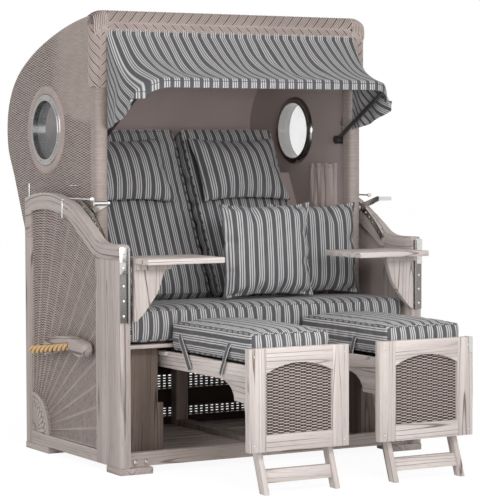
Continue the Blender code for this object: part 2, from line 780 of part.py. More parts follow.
def rope_route(side):
    """Along the arm's groove and on behind it, then round into the woven panel."""
    x = BASE_HALF_WIDTH + ROPE_STANDOFF
    panel = BASE_HALF_WIDTH - WEAVE_RECESS
    stations = [-ROPE_START + (ROPE_TURN + ROPE_START) * step / ROPE_STEPS for step in range(ROPE_STEPS + 1)]
    route = [(x, y, rope_line(y)) for y in stations]
    turn = arc((panel, ROPE_TURN), x - panel, 0.0, pi / 2, ROPE_STEPS)
    route += [(bx, by, ROPE_END_HEIGHT) for bx, by in turn[1:-1]]
    end_y = ROPE_TURN + x - panel
    route += [(panel + gap, end_y, ROPE_END_HEIGHT) for gap in (FUSE_OVERLAP, TOUCH_GAP)]
    return [(side * px, py, pz) for px, py, pz in route]


def rope_handle(side, name, axis):
    curve = bpy.data.curves.new("rope_" + name, "CURVE")
    curve.dimensions = "3D"
    curve.bevel_depth = ROPE_DIAMETER / 2
    curve.bevel_resolution = 2
    curve.use_fill_caps = True
    route = rope_route(side)
    line = curve.splines.new("POLY")
    line.points.add(len(route) - 1)
    for point, place in zip(line.points, route):
        point.co = (*place, 1)
    curve.materials.append(finish_material(ROPE))
    rope = bpy.data.objects.new("rope_" + name, curve)
    bpy.context.scene.collection.objects.link(rope)
    rope.parent = axis
    rope.location = -Vector(axis["model_place"])


def rope_bracket(side, name, axis):
    """An arched wooden arm on the panel, grooved outside for the rope's front end."""
    front = -BRACKET_FRONT
    rear = front + BRACKET_LENGTH
    top = BRACKET_BOTTOM + BRACKET_HEIGHT
    middle = (front + rear) / 2
    half = BRACKET_LENGTH / 2
    rise = BRACKET_HEIGHT - BRACKET_BAND
    radius = (half**2 + rise**2) / (2 * rise)
    sweep = asin(half / radius)
    upper = arc((middle, top - radius), radius, pi / 2 - sweep, pi / 2 + sweep, 2 * CORNER_STEPS)
    lower = [(y, z - BRACKET_BAND) for y, z in reversed(upper)]
    inner = side * (BASE_HALF_WIDTH + TOUCH_GAP)
    arm = add_piece("rope_bracket_" + name, slab_x(upper + lower, inner, inner + side * BRACKET_REACH), WOOD, axis)
    groove_half = ROPE_DIAMETER / 2 + ROPE_SEAT_GAP
    groove_front = -ROPE_START - FUSE_OVERLAP
    groove_rear = rear + CUT_OVERRUN
    groove = [
        (groove_front, rope_line(groove_front) - groove_half),
        (groove_rear, rope_line(groove_rear) - groove_half),
        (groove_rear, rope_line(groove_rear) + groove_half),
        (groove_front, rope_line(groove_front) + groove_half),
    ]
    floor = side * (BASE_HALF_WIDTH + ROPE_STANDOFF - groove_half)
    cut(arm, slab_x(groove, floor, side * (BASE_HALF_WIDTH + BRACKET_REACH + CUT_OVERRUN)), "groove")


def hood_pin(side, name, axis):
    """Bolt head inside the hood, shank through the hood's side, collar, and tip in the batten."""
    profile = [
        (inner_wall - TOUCH_GAP - PIN_HEAD_THICKNESS, PIN_HEAD_RADIUS),
        (inner_wall - TOUCH_GAP, PIN_HEAD_RADIUS),
        (inner_wall - TOUCH_GAP, PIN_RADIUS),
        (HOOD_HALF_WIDTH + TOUCH_GAP, PIN_RADIUS),
        (HOOD_HALF_WIDTH + TOUCH_GAP, PIN_COLLAR_RADIUS),
        (frame_inner - TOUCH_GAP, PIN_COLLAR_RADIUS),
        (frame_inner - TOUCH_GAP, PIN_RADIUS),
        (frame_inner + PIVOT_BATTEN_THICKNESS, PIN_RADIUS),
    ]
    turned = turned_x([(side * x, radius) for x, radius in profile], (PIVOT_Y, PIVOT_Z))
    add_piece("hood_pin_" + name, turned, CHROME, axis)


def latch_rail(side, name, axis):
    """A perforated strip bent about the hood's pin, on two bosses against the arm panel."""
    pin = (PIVOT_Y, PIVOT_Z)
    outer_arc = arc(pin, RAIL_INNER_RADIUS + RAIL_WIDTH, RAIL_START, RAIL_END, 2 * CORNER_STEPS)
    inner_arc = arc(pin, RAIL_INNER_RADIUS, RAIL_END, RAIL_START, 2 * CORNER_STEPS)
    face = side * (frame_inner - TOUCH_GAP)
    strip_outer = face - side * RAIL_STANDOFF
    strip_inner = strip_outer - side * RAIL_THICKNESS
    rail = add_piece("latch_rail_" + name, slab_x(outer_arc + inner_arc, strip_inner, strip_outer), CHROME, axis)
    middle = RAIL_INNER_RADIUS + RAIL_WIDTH / 2
    step = (RAIL_END - RAIL_START) / (RAIL_HOLE_COUNT + 1)
    stations = [RAIL_START + step * (index + 1) for index in range(RAIL_HOLE_COUNT)]
    past = side * CUT_OVERRUN
    for index, angle in enumerate(stations):
        spot = (PIVOT_Y + middle * cos(angle), PIVOT_Z + middle * sin(angle))
        hole = slab_x(circle(spot, RAIL_HOLE_RADIUS, 8), strip_inner - past, strip_outer + past)
        if index in (1, RAIL_HOLE_COUNT - 2):
            low_spot = (spot[0], spot[1] - RAIL_WIDTH / 4)
            hole.free()
            boss = slab_x(
                circle(low_spot, RAIL_BOSS_RADIUS, SMALL_SEGMENTS), strip_inner + side * RAIL_THICKNESS / 2, face
            )
            fuse(rail, boss, f"boss_{index}")
            continue
        cut(rail, hole, f"hole_{index}")


def table_hinge(side, name, axis):
    """The leaf screwed to the post's front, with the barrel the table swings on."""
    inner = side * (BASE_HALF_WIDTH - HINGE_INSET)
    outer = side * BASE_HALF_WIDTH
    rear = -BASE_HALF_DEPTH - TOUCH_GAP
    leaf = add_piece(
        "table_hinge_" + name,
        block((inner, outer), (rear - HINGE_LEAF_THICKNESS, rear), (HINGE_LEAF_BOTTOM, HINGE_LEAF_TOP)),
        CHROME,
        axis,
    )
    barrel = circle((inner, -BASE_HALF_DEPTH - HINGE_OFFSET), HINGE_BARREL_RADIUS, SMALL_SEGMENTS)
    fuse(leaf, slab_z(barrel, HINGE_LEAF_BOTTOM, HINGE_LEAF_TOP), "barrel")


def throw_pillows(axis):
    spots = (
        ("left", LEFT_PILLOW_X, LEFT_PILLOW_Y, LEFT_PILLOW_BOTTOM),
        ("right", RIGHT_PILLOW_X, RIGHT_PILLOW_Y, RIGHT_PILLOW_BOTTOM),
    )
    for name, x, y, bottom in spots:
        form = pillow(PILLOW_SIZE, PILLOW_HEIGHT, PILLOW_THICKNESS, PILLOW_DRAW_IN)
        add_piece(
            "throw_pillow_" + name, placed(form, (x, y, bottom + PILLOW_HEIGHT / 2), PILLOW_LEAN), STRIPE, axis
        )


def hood_section(inset):
    """The hood's roof and back line drawn in by inset, keeping its front and bottom ends in their planes."""
    line = offset_line(hood_back, -inset)
    line[0] = (hood_back[0][0], line[0][1])
    line[-1] = (line[-1][0], hood_back[-1][1])
    return line


def loft_x(sections):
    """Closed outlines of equal length at rising x, skinned and capped."""
    mesh_data = bmesh.new()
    rings = [[mesh_data.verts.new((x, y, z)) for y, z in outline] for x, outline in sections]
    count = len(rings[0])
    for first, second in zip(rings, rings[1:]):
        for index in range(count):
            following = (index + 1) % count
            mesh_data.faces.new((first[index], first[following], second[following], second[index]))
    mesh_data.faces.new(rings[0])
    mesh_data.faces.new(rings[-1])
    return mesh_data


def cheek_outline(inset):
    """The hood's side: roof and back line closed by the skirt, the cheek round the pin and the front edge."""
    lower = [
        (HOOD_CHEEK_REAR, HOOD_CHEEK_BOTTOM),
        (HOOD_CHEEK_FRONT, HOOD_CHEEK_BOTTOM),
        (HOOD_CHEEK_FRONT, HOOD_SIDE_BOTTOM),
        (rim_rear + TOUCH_GAP, HOOD_SIDE_BOTTOM),
    ]
    return hood_section(inset) + lower


def hood_side(side, name, axis):
    angles = [pi / 2 * step / CORNER_STEPS for step in range(CORNER_STEPS + 1)]
    skins = [
        (side * (inner_wall + max(HOOD_WALL * sin(angle), TOUCH_GAP / 2)), cheek_outline(HOOD_WALL * (1 - cos(angle))))
        for angle in angles
    ]
    piece = add_piece("hood_side_" + name, loft_x(skins), WICKER, axis)
    past = side * CUT_OVERRUN
    bore = slab_x(
        circle((PORTHOLE_Y, PORTHOLE_Z), PORTHOLE_BARREL + TOUCH_GAP, 2 * ROUND_SEGMENTS),
        side * inner_wall - past,
        side * HOOD_HALF_WIDTH + past,
    )
    cut(piece, bore, "porthole")
    pin_hole = circle((PIVOT_Y, PIVOT_Z), PIN_RADIUS + PIN_RUN_GAP)
    cut(piece, slab_x(pin_hole, side * inner_wall - past, side * HOOD_HALF_WIDTH + past), "pin_hole")


def hood_shell(axis):
    """Roof and back in one curved board between the two rounded sides."""
    half = inner_wall - TOUCH_GAP / 2
    band = hood_section(0.0) + hood_section(HOOD_WALL)[::-1]
    add_piece("hood_shell", slab_x(band, -half, half), WICKER, axis)


def hood_rim(axis):
    """The wound front frame: an upside-down U with a deep head."""
    outer, inner = HOOD_HALF_WIDTH, HOOD_HALF_WIDTH - RIM_WIDTH
    head = HOOD_TOP - RIM_HEAD_HEIGHT
    inner_corner = RIM_CORNER / 2
    braided = outer + RIM_BRAID
    narrow = RIM_BRAID_BOTTOM - 2 * RIM_BRAID
    outline = [(outer, HOOD_SIDE_BOTTOM), (outer, narrow), (braided, RIM_BRAID_BOTTOM)]
    outline += arc((braided - RIM_CORNER, HOOD_TOP - RIM_CORNER), RIM_CORNER, 0.0, pi / 2)
    outline += arc((-braided + RIM_CORNER, HOOD_TOP - RIM_CORNER), RIM_CORNER, pi / 2, pi)
    outline += [(-braided, RIM_BRAID_BOTTOM), (-outer, narrow), (-outer, HOOD_SIDE_BOTTOM)]
    outline += [(-inner, HOOD_SIDE_BOTTOM)]
    outline += arc((-inner + inner_corner, head - inner_corner), inner_corner, pi, pi / 2)
    outline += arc((inner - inner_corner, head - inner_corner), inner_corner, pi / 2, 0.0)
    outline += [(inner, HOOD_SIDE_BOTTOM)]
    rim = slab_y(outline, -HOOD_FRONT, rim_rear)
    front_edges = [edge for edge in rim.edges if all(vert.co.y < -HOOD_FRONT + TOUCH_GAP for vert in edge.verts)]
    around = [edge for edge in front_edges if not all(v.co.z < HOOD_SIDE_BOTTOM + TOUCH_GAP for v in edge.verts)]
    bmesh.ops.bevel(rim, geom=around, offset=RIM_ROUNDING, segments=3, profile=0.5, affect="EDGES")
    add_piece("hood_rim", rim, WICKER, axis)


def porthole(side, name, axis):
    """Chrome ring clamped on the wall by an outer and an inner flange, and its pane."""
    profile = [
        (inner_wall - PORTHOLE_FLANGE_IN, PORTHOLE_BORE),
        (inner_wall - PORTHOLE_FLANGE_IN, PORTHOLE_FLANGE),
        (inner_wall - TOUCH_GAP, PORTHOLE_FLANGE),
        (inner_wall - TOUCH_GAP, PORTHOLE_BARREL),
        (HOOD_HALF_WIDTH + TOUCH_GAP, PORTHOLE_BARREL),
        (HOOD_HALF_WIDTH + TOUCH_GAP, PORTHOLE_FLANGE),
        (HOOD_HALF_WIDTH + PORTHOLE_FLANGE_OUT, PORTHOLE_FLANGE),
        (HOOD_HALF_WIDTH + PORTHOLE_FLANGE_OUT, PORTHOLE_BORE),
    ]
    ring = turned_x(
        [(side * x, radius) for x, radius in profile], (PORTHOLE_Y, PORTHOLE_Z), True, 2 * ROUND_SEGMENTS
    )
    add_piece("porthole_" + name, ring, CHROME, axis)
    middle = side * (inner_wall + HOOD_HALF_WIDTH) / 2
    pane = circle((PORTHOLE_Y, PORTHOLE_Z), PORTHOLE_BORE - TOUCH_GAP, 2 * ROUND_SEGMENTS)
    glass = slab_x(pane, middle - GLASS_THICKNESS / 2, middle + GLASS_THICKNESS / 2)
    add_piece("porthole_glass_" + name, glass, GLASS, axis)


def back_place(x, up, out):
    """A point up the back cushions' front face and out behind it."""
    return Vector((x, 0, 0)) + back_bottom + back_up * up + back_normal * out


def back_cushions(axis):
    board_low = back_place(0, -BACKREST_DROP, BACK_CUSHION_THICKNESS + TOUCH_GAP)
    board_high = back_place(0, BACKREST_LENGTH, BACK_CUSHION_THICKNESS + TOUCH_GAP)
    behind = back_normal * BACKREST_THICKNESS
    corners = [board_low, board_low + behind, board_high + behind, board_high]
    half = inner_wall - TOUCH_GAP
    board = slab_x([(corner.y, corner.z) for corner in corners], -half, half)
    add_piece("backrest_board", board, WOOD, axis)
    neck_out = -NECK_THICKNESS / 2 - BACK_CUSHION_CROWN
    for side, name, neck_x in ((-1, "left", NECK_CENTRE_LEFT), (1, "right", NECK_CENTRE_RIGHT)):
        form = cushion(
            BACK_CUSHION_WIDTH,
            BACK_CUSHION_THICKNESS,
            BACK_CUSHION_LENGTH,
            draw_in=0.0,
            squareness=7.0,
            cuts=7,
        )
        for vert in form.verts:
            u = 2 * vert.co.x / BACK_CUSHION_WIDTH
            v = 2 * vert.co.z / BACK_CUSHION_LENGTH
            if vert.co.y < 0:
                vert.co.y -= BACK_CUSHION_CROWN * max(1 - u * u, 0) * max(1 - v * v, 0)
            vert.co.x *= 1 - max(1 - v * v, 0) * BACK_CUSHION_CROWN / BACK_CUSHION_WIDTH
        x = side * (BACK_CUSHION_WIDTH + BACK_CUSHION_SPLIT) / 2
        centre = back_place(x, BACK_CUSHION_LENGTH / 2, BACK_CUSHION_THICKNESS / 2)
        add_piece("back_cushion_" + name, placed(form, centre, BACK_LEAN), STRIPE, axis)
        roll = pillow(NECK_WIDTH, NECK_HEIGHT, NECK_THICKNESS, NECK_DRAW_IN)
        roll_centre = back_place(neck_x, NECK_UP, neck_out)
        add_piece("neck_pillow_" + name, placed(roll, roll_centre, BACK_LEAN), STRIPE, axis)


def side_pocket(axis):
    """A gathered pouch on the right inner wall, sewn down at its sides and foot and open at its mouth."""
    wall = inner_wall - TOUCH_GAP
    middle = (POCKET_FRONT + POCKET_REAR) / 2
    half = (POCKET_REAR - POCKET_FRONT) / 2
    columns = 2 * POCKET_FOLDS
    strips = []
    for column in range(columns + 1):
        u = 2 * column / columns - 1
        fold = 1 + (1 if column % 2 else -1) / 8
        strip = []
        for row in range(POCKET_ROWS + 1):
            t = row / POCKET_ROWS
            fullness = min(4 * t, 1.0) * (1 - t * t / 4)
            depth = POCKET_DEPTH * fold * sqrt(1 - u**4) * fullness
            height = POCKET_BOTTOM + (POCKET_TOP - POCKET_BOTTOM) * t
            strip.append(Vector((wall - FABRIC_THICKNESS / 2 - depth, middle + half * u, height)))
        strips.append(strip)
    pouch = thick_sheet(strips, FABRIC_THICKNESS)
    for vert in pouch.verts:
        vert.co.x = min(vert.co.x, wall)
    add_piece("side_pocket", pouch, LINING, axis)


def latch_lever(side, name, axis):
    """A flat arm on a hub beside the hood, with a round grip across its end."""
    tip = (LEVER_Y + LEVER_LENGTH * cos(LEVER_ANGLE), LEVER_Z + LEVER_LENGTH * sin(LEVER_ANGLE))
    half = LEVER_WIDTH / 2
    plate = arc(tip, half, LEVER_ANGLE - pi / 2, LEVER_ANGLE + pi / 2)
    plate += arc((LEVER_Y, LEVER_Z), half, LEVER_ANGLE + pi / 2, LEVER_ANGLE + 3 * pi / 2)
    wall = side * (HOOD_HALF_WIDTH + TOUCH_GAP)
    inner = wall + side * LEVER_STANDOFF
    outer = inner + side * LEVER_THICKNESS
    lever = add_piece("latch_lever_" + name, slab_x(plate, inner, outer), CHROME, axis)
    hub = circle((LEVER_Y, LEVER_Z), LEVER_HUB_RADIUS, SMALL_SEGMENTS)
    fuse(lever, slab_x(hub, wall, outer - side * FUSE_OVERLAP), "hub")
    grip = circle(tip, GRIP_RADIUS - FUSE_OVERLAP, SMALL_SEGMENTS)
    fuse(lever, slab_x(grip, inner + side * FUSE_OVERLAP, outer + side * GRIP_LENGTH), "grip")


def bow_point(x, reach):
    """A point of the bow's plane at x, reach away from the axis it turns on."""
    return Vector((x, AWNING_PIVOT_Y - reach * cos(AWNING_RISE), AWNING_PIVOT_Z + reach * sin(AWNING_RISE)))


def bow_reach(x, offset=0.0):
    """How far the bow's middle line, or a line offset outside it, reaches at x."""
    corner = AWNING_BAR_CORNER + offset
    into = abs(x) - (AWNING_HALF_WIDTH - AWNING_BAR_CORNER)
    straight = AWNING_REACH - AWNING_BAR_CORNER
    if into <= 0:
        return straight + corner
    return straight + sqrt(max(corner**2 - into**2, 0.0))


def awning_bow(axis):
    """A bent round bar: two arms that turn on the hood's inner walls, joined by the front bar."""
    across, corner = AWNING_HALF_WIDTH, AWNING_BAR_CORNER
    route = [bow_point(-across, AWNING_HUB_RADIUS / 2)]
    for side in (-1, 1):
        turns = [pi / 2 * step / CORNER_STEPS for step in range(CORNER_STEPS + 1)]
        bend = [
            bow_point(side * (across - corner * (1 - sin(turn))), AWNING_REACH - corner * (1 - cos(turn)))
            for turn in turns
        ]
        route += bend[::-1] if side < 0 else bend
    route.append(bow_point(across, AWNING_HUB_RADIUS / 2))
    bow = add_piece("awning_bow", tube(route, AWNING_BAR_RADIUS), STEEL, axis)
    hub_outer = inner_wall - RUN_GAP
    for side, name in ((-1, "left"), (1, "right")):
        hub = circle((AWNING_PIVOT_Y, AWNING_PIVOT_Z), AWNING_HUB_RADIUS, SMALL_SEGMENTS)
        hub_inner = side * (across - AWNING_BAR_RADIUS - FUSE_OVERLAP)
        fuse(bow, slab_x(hub, hub_inner, side * hub_outer), "hub_" + name)


def awning_line(x, folds):
    """The cloth's middle line (y, z) at x, from the rim over the bar to the valance's hem."""
    half = FABRIC_THICKNESS / 2
    contact = AWNING_BAR_RADIUS + half + FABRIC_BAR_GAP
    start = Vector((-HOOD_FRONT - TOUCH_GAP - half, HOOD_TOP - RIM_HEAD_HEIGHT + FABRIC_RIM_OVERLAP))
    leave = Vector((start.x - TOUCH_GAP, HOOD_TOP - RIM_HEAD_HEIGHT))
    bar = bow_point(x, bow_reach(x)).yz
    lift = max(bow_reach(x, contact) - bow_reach(x), contact)
    slope = (bar - leave).normalized()
    normal = Vector((slope.y, -slope.x))
    touch = bar + normal * lift
    line = [start, leave]
    for step in range(1, FABRIC_SPANS):
        t = step / FABRIC_SPANS
        line.append(leave.lerp(touch, t) - normal * (FABRIC_SAG + folds) * sin(pi * t))
    turn = atan2(normal.y, normal.x)
    line += [Vector(point) for point in arc((bar.x, bar.y), lift, turn, pi, 3)]
    line.append(line[-1] - Vector((0, VALANCE_DROP)))
    return line


def awning_fabric(axis):
    """The awning's cloth: a sagging top with shallow folds, a valance, and a gusset down each side."""
    half_width = AWNING_HALF_WIDTH + AWNING_BAR_RADIUS + FABRIC_SIDE_GAP
    level = AWNING_HALF_WIDTH - AWNING_BAR_CORNER
    columns = 4 * FABRIC_FOLD_COUNT
    middle = [level * (2 * column / columns - 1) for column in range(columns + 1)]
    turns = [pi / 2 * step / CORNER_STEPS for step in range(1, CORNER_STEPS + 1)]
    corner = [level + AWNING_BAR_CORNER * sin(turn) for turn in turns] + [half_width]
    strips = []
    for index, x in enumerate([-x for x in reversed(corner)] + middle + corner):
        fold = FABRIC_FOLD * sin(pi * (index - len(corner)) / 2) if abs(x) < level else 0.0
        strips.append([Vector((x, point.x, point.y)) for point in awning_line(x, fold)])
    rows = len(strips[0])
    gussets = []
    for side, edge in ((-1, strips[0]), (1, strips[-1])):
        panel = []
        for share in (1.0, 0.5):
            strip = []
            for row, top in enumerate(edge):
                t = min(max((row - 1) / (FABRIC_SPANS + 1), 0.0), 1.0)
                hem = GUSSET_RIM_BOTTOM + (edge[-1].z - GUSSET_RIM_BOTTOM) * t - GUSSET_SAG * sin(pi * t)
                out = side * GUSSET_FLARE * t * share
                low = min(top.z, hem)
                strip.append(Vector((top.x + out, top.y, top.z + (low - top.z) * share)))
            panel.append(strip)
        gussets.append(panel)
    sheet = gussets[0] + strips + gussets[1][::-1]
    add_piece("awning_fabric", thick_sheet(sheet, FABRIC_THICKNESS), STRIPE, axis)


def thick_sheet(strips, thickness):
    """A grid of points given thickness to both sides along its own normals."""
    flat = bmesh.new()
    grid = [[flat.verts.new(point) for point in strip] for strip in strips]
    for first, second in zip(grid, grid[1:]):
        for row in range(len(first) - 1):
            flat.faces.new((first[row], first[row + 1], second[row + 1], second[row]))
    bmesh.ops.recalc_face_normals(flat, faces=flat.faces)
    flat.normal_update()
    solid = bmesh.new()
    half = thickness / 2
    layers = []
    for way in (1, -1):
        layers.append([[solid.verts.new(v.co + v.normal * half * way) for v in strip] for strip in grid])
    for layer in layers:
        for first, second in zip(layer, layer[1:]):
            for row in range(len(first) - 1):
                solid.faces.new((first[row], first[row + 1], second[row + 1], second[row]))
    upper, lower = layers
    rim = [(strip, row) for strip, row in border(len(grid), len(grid[0]))]
    for here, there in zip(rim, rim[1:] + rim[:1]):
        solid.faces.new(
            (
                upper[here[0]][here[1]],
                upper[there[0]][there[1]],
                lower[there[0]][there[1]],
                lower[here[0]][here[1]],
            )
        )
    flat.free()
    return solid


def border(strips, rows):
    """The grid positions round a sheet's edge, in order."""
    places = [(0, row) for row in range(rows)]
    places += [(strip, rows - 1) for strip in range(1, strips)]
    places += [(strips - 1, row) for row in range(rows - 2, -1, -1)]
    places += [(strip, 0) for strip in range(strips - 2, 0, -1)]
    return places


def table(side, name, axis):
    """A swing table: its board, and the scrolled bracket with a batten that carries it from the hinge."""
    outer = side * (TABLE_INNER + TABLE_LENGTH)
    board = block(
        (side * TABLE_INNER, outer),
        (-TABLE_FRONT, -TABLE_FRONT + TABLE_DEPTH),
        (TABLE_TOP - TABLE_THICKNESS, TABLE_TOP),
    )
    add_piece("table_top_" + name, board, WOOD, axis)
    under = TABLE_TOP - TABLE_THICKNESS - TOUCH_GAP
    edge = smooth_line(TABLE_BRACKET_SHARES)
    scroll = [(outer - side * TABLE_BRACKET_REACH * x, under - TABLE_BRACKET_RISE * z) for x, z in edge]
    scroll += [(outer, under - TABLE_BRACKET_RISE), (outer, under)]
    hinge_y = -BASE_HALF_DEPTH - HINGE_OFFSET
    rear = hinge_y + TABLE_BRACKET_THICKNESS / 2
    front = rear - TABLE_BRACKET_THICKNESS
    bracket = add_piece("table_bracket_" + name, slab_y(scroll, front, rear), WOOD, axis)
    batten = block(
        (outer, outer - side * TABLE_BATTEN_LENGTH),
        (front - TABLE_BATTEN, front + FUSE_OVERLAP),
        (under - TABLE_BATTEN, under),
    )
    fuse(bracket, batten, "batten")


def arch_opening(centre):
    """The footrest panel's window: straight sides under a low arch."""
    half = PANEL_HALF_WIDTH - STILE_WIDTH
    rise = PANEL_ARCH_CROWN - PANEL_ARCH_SPRING
    radius = (half**2 + rise**2) / (2 * rise)
    sweep = asin(half / radius)
    middle = (centre, PANEL_ARCH_CROWN - radius)
    low = PANEL_BOTTOM + PANEL_RAIL
    sides = [(centre - half, low), (centre + half, low)]
    return sides + arc(middle, radius, pi / 2 - sweep, pi / 2 + sweep, 2 * CORNER_STEPS)


def footrest_panel(side, name, axis):
    centre = side * FOOTREST_CENTRE
    edge = -FOOTREST_FRONT + PANEL_THICKNESS
    panel = add_piece(
        "footrest_front_" + name,
        block(
            (centre - PANEL_HALF_WIDTH, centre + PANEL_HALF_WIDTH),
            (-FOOTREST_FRONT, edge),
            (PANEL_BOTTOM, PANEL_TOP),
        ),
        WOOD,
        axis,
    )
    window = arch_opening(centre)
    cut(panel, slab_y(window, -FOOTREST_FRONT - CUT_OVERRUN, edge + CUT_OVERRUN), "window")
    middle = -FOOTREST_FRONT + PANEL_THICKNESS / 2
    fill = inset_outline(window, TOUCH_GAP)
    weave = slab_y(fill, middle - WEAVE_THICKNESS / 2, middle + WEAVE_THICKNESS / 2)
    add_piece("footrest_weave_" + name, weave, WICKER, axis)


def tray_board_outline():
    """A side board: straight along its guide, then coved down to a block behind the front panel."""
    front = -FOOTREST_FRONT + PANEL_THICKNESS + TOUCH_GAP
    low = TRAY_BOTTOM - TRAY_ARC_DROP
    foot = -TRAY_ARC_START - TRAY_ARC_LENGTH
    turns = [pi / 2 * step / CORNER_STEPS for step in range(CORNER_STEPS + 1)]
    cove = [(foot + TRAY_ARC_LENGTH * (1 - cos(turn)), low + TRAY_ARC_DROP * sin(turn)) for turn in turns]
    return [(front, TRAY_TOP), (front, low)] + cove + [(-TRAY_REAR, TRAY_BOTTOM), (-TRAY_REAR, TRAY_TOP)]


def footrest_tray(side, name, axis):
    """Two carved side boards, the platform between them for the cushion, and a runner outside each board."""
    centre = side * FOOTREST_CENTRE
    outline = tray_board_outline()
    front = outline[0][0]
    half = TRAY_HALF_WIDTH
    platform = block(
        (centre - half + FUSE_OVERLAP, centre + half - FUSE_OVERLAP),
        (front, -TRAY_REAR - FUSE_OVERLAP),
        (TRAY_PLATFORM_TOP - TRAY_PLATFORM_THICKNESS, TRAY_PLATFORM_TOP),
    )
    left = slab_x(outline, centre - half, centre - half + TRAY_BOARD)
    right = slab_x(outline, centre + half - TRAY_BOARD, centre + half)
    tray = add_piece("footrest_tray_" + name, left, WOOD, axis)
    fuse(tray, platform, "platform")
    fuse(tray, right, "board")
    for hand in (-1, 1):
        cleat = block(
            (centre + hand * (half - FUSE_OVERLAP), centre + hand * (half + TRAY_CLEAT_REACH)),
            (-TRAY_CLEAT_FRONT, -TRAY_REAR - FUSE_OVERLAP),
            (TRAY_TOP - TRAY_CLEAT_HEIGHT, TRAY_TOP - FUSE_OVERLAP),
        )
        fuse(tray, cleat, "cleat")


def footrest_cushion(side, name, axis):
    front = -FOOTREST_FRONT + PANEL_THICKNESS + TOUCH_GAP
    length = -FOOTREST_CUSHION_REAR - front
    form = cushion(
        2 * FOOTREST_CUSHION_HALF_WIDTH,
        length,
        FOOTREST_CUSHION_THICKNESS,
        crown=FOOTREST_CUSHION_CROWN,
        draw_in=FOOTREST_CUSHION_CROWN / 4,
        squareness=28.0,
        flat_bottom=True,
    )
    middle_z = TRAY_TOP + TOUCH_GAP + FOOTREST_CUSHION_THICKNESS / 2
    place = (side * FOOTREST_CUSHION_CENTRE, front + length / 2, middle_z)
    add_piece("footrest_cushion_" + name, placed(form, place), STRIPE, axis)


def footrest_leg(side, name, axis):
    """A folding frame: two slanted legs and the crossbar between them."""
    centre = side * FOOTREST_CENTRE
    outer = TRAY_HALF_WIDTH - TRAY_BOARD - LEG_RUN_GAP
    inner = outer - LEG_THICKNESS
    slant = atan2(LEG_PIVOT_Y - LEG_FOOT_Y, LEG_PIVOT_Z)
    half = LEG_DEPTH / 2 * cos(slant)
    top = arc((LEG_PIVOT_Y, LEG_PIVOT_Z), half, -slant, pi - slant)
    leg_half_at_floor = half / cos(slant)
    outline = [(LEG_FOOT_Y - leg_half_at_floor, 0), (LEG_FOOT_Y + leg_half_at_floor, 0)] + top
    leg = add_piece("footrest_leg_" + name, slab_x(outline, centre - outer, centre - inner), WOOD, axis)
    fuse(leg, slab_x(outline, centre + inner, centre + outer), "leg")
    slope = (LEG_PIVOT_Y - LEG_FOOT_Y) / LEG_PIVOT_Z
    low, high = CROSSBAR_BOTTOM, CROSSBAR_BOTTOM + CROSSBAR_HEIGHT
    thick = CROSSBAR_THICKNESS / 2
    bar = [
        (LEG_FOOT_Y + slope * low - thick, low),
        (LEG_FOOT_Y + slope * low + thick, low),
        (LEG_FOOT_Y + slope * high + thick, high),
        (LEG_FOOT_Y + slope * high - thick, high),
    ]
    fuse(leg, slab_x(bar, centre - inner - FUSE_OVERLAP, centre + inner + FUSE_OVERLAP), "crossbar")


def build_chair():
    clear_scene()
    chair = add_axis("chair_origin", (0, 0, 0))
    chair.location = (0, -middle_y, 0)
    sides = ((-1, "left"), (1, "right"))

    front_rail(chair)
    floor_slats(chair)
    rear_wall(chair)
    footrest_guide(chair)
    seat(chair)
    throw_pillows(chair)
    for side, name in sides:
        side_frame(side, name, chair)
        side_weave(side, name, chair)
        foot(side, "foot_front_" + name, -BASE_HALF_DEPTH - FOOT_OVERHANG, FRONT_FOOT_LENGTH, chair)
        rear_start = BASE_HALF_DEPTH + FOOT_OVERHANG - REAR_FOOT_LENGTH
        foot(side, "foot_rear_" + name, rear_start, REAR_FOOT_LENGTH, chair)
        seat_box_side(side, name, chair)
        rope_handle(side, name, chair)
        rope_bracket(side, name, chair)
        hood_pin(side, name, chair)
        latch_rail(side, name, chair)
        table_hinge(side, name, chair)

    hood = add_axis("hood_axis", (0, PIVOT_Y, PIVOT_Z), chair)
    hood_shell(hood)
    hood_rim(hood)
    back_cushions(hood)
    side_pocket(hood)
    for side, name in sides:
        hood_side(side, name, hood)
        porthole(side, name, hood)
        lever = add_axis("lever_axis_" + name, (side * HOOD_HALF_WIDTH, LEVER_Y, LEVER_Z), hood)
        latch_lever(side, name, lever)
    bow = add_axis("awning_axis", (0, AWNING_PIVOT_Y, AWNING_PIVOT_Z), hood)
    awning_bow(bow)
    awning_fabric(hood)

    for side, name in sides:
        hinge_x = side * (BASE_HALF_WIDTH - HINGE_INSET)
        swing = add_axis("table_axis_" + name, (hinge_x, -BASE_HALF_DEPTH - HINGE_OFFSET, TABLE_TOP), chair)
        table(side, name, swing)
        slide = add_axis("footrest_axis_" + name, (side * FOOTREST_CENTRE, -FOOTREST_FRONT, TRAY_BOTTOM), chair)
        footrest_panel(side, name, slide)
        footrest_tray(side, name, slide)
        footrest_cushion(side, name, slide)
        fold = add_axis("leg_axis_" + name, (side * FOOTREST_CENTRE, LEG_PIVOT_Y, LEG_PIVOT_Z), slide)
        footrest_leg(side, name, fold)


build_chair()
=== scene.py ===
import math
from itertools import product

import bpy
import numpy as np
from mathutils import Matrix, Vector


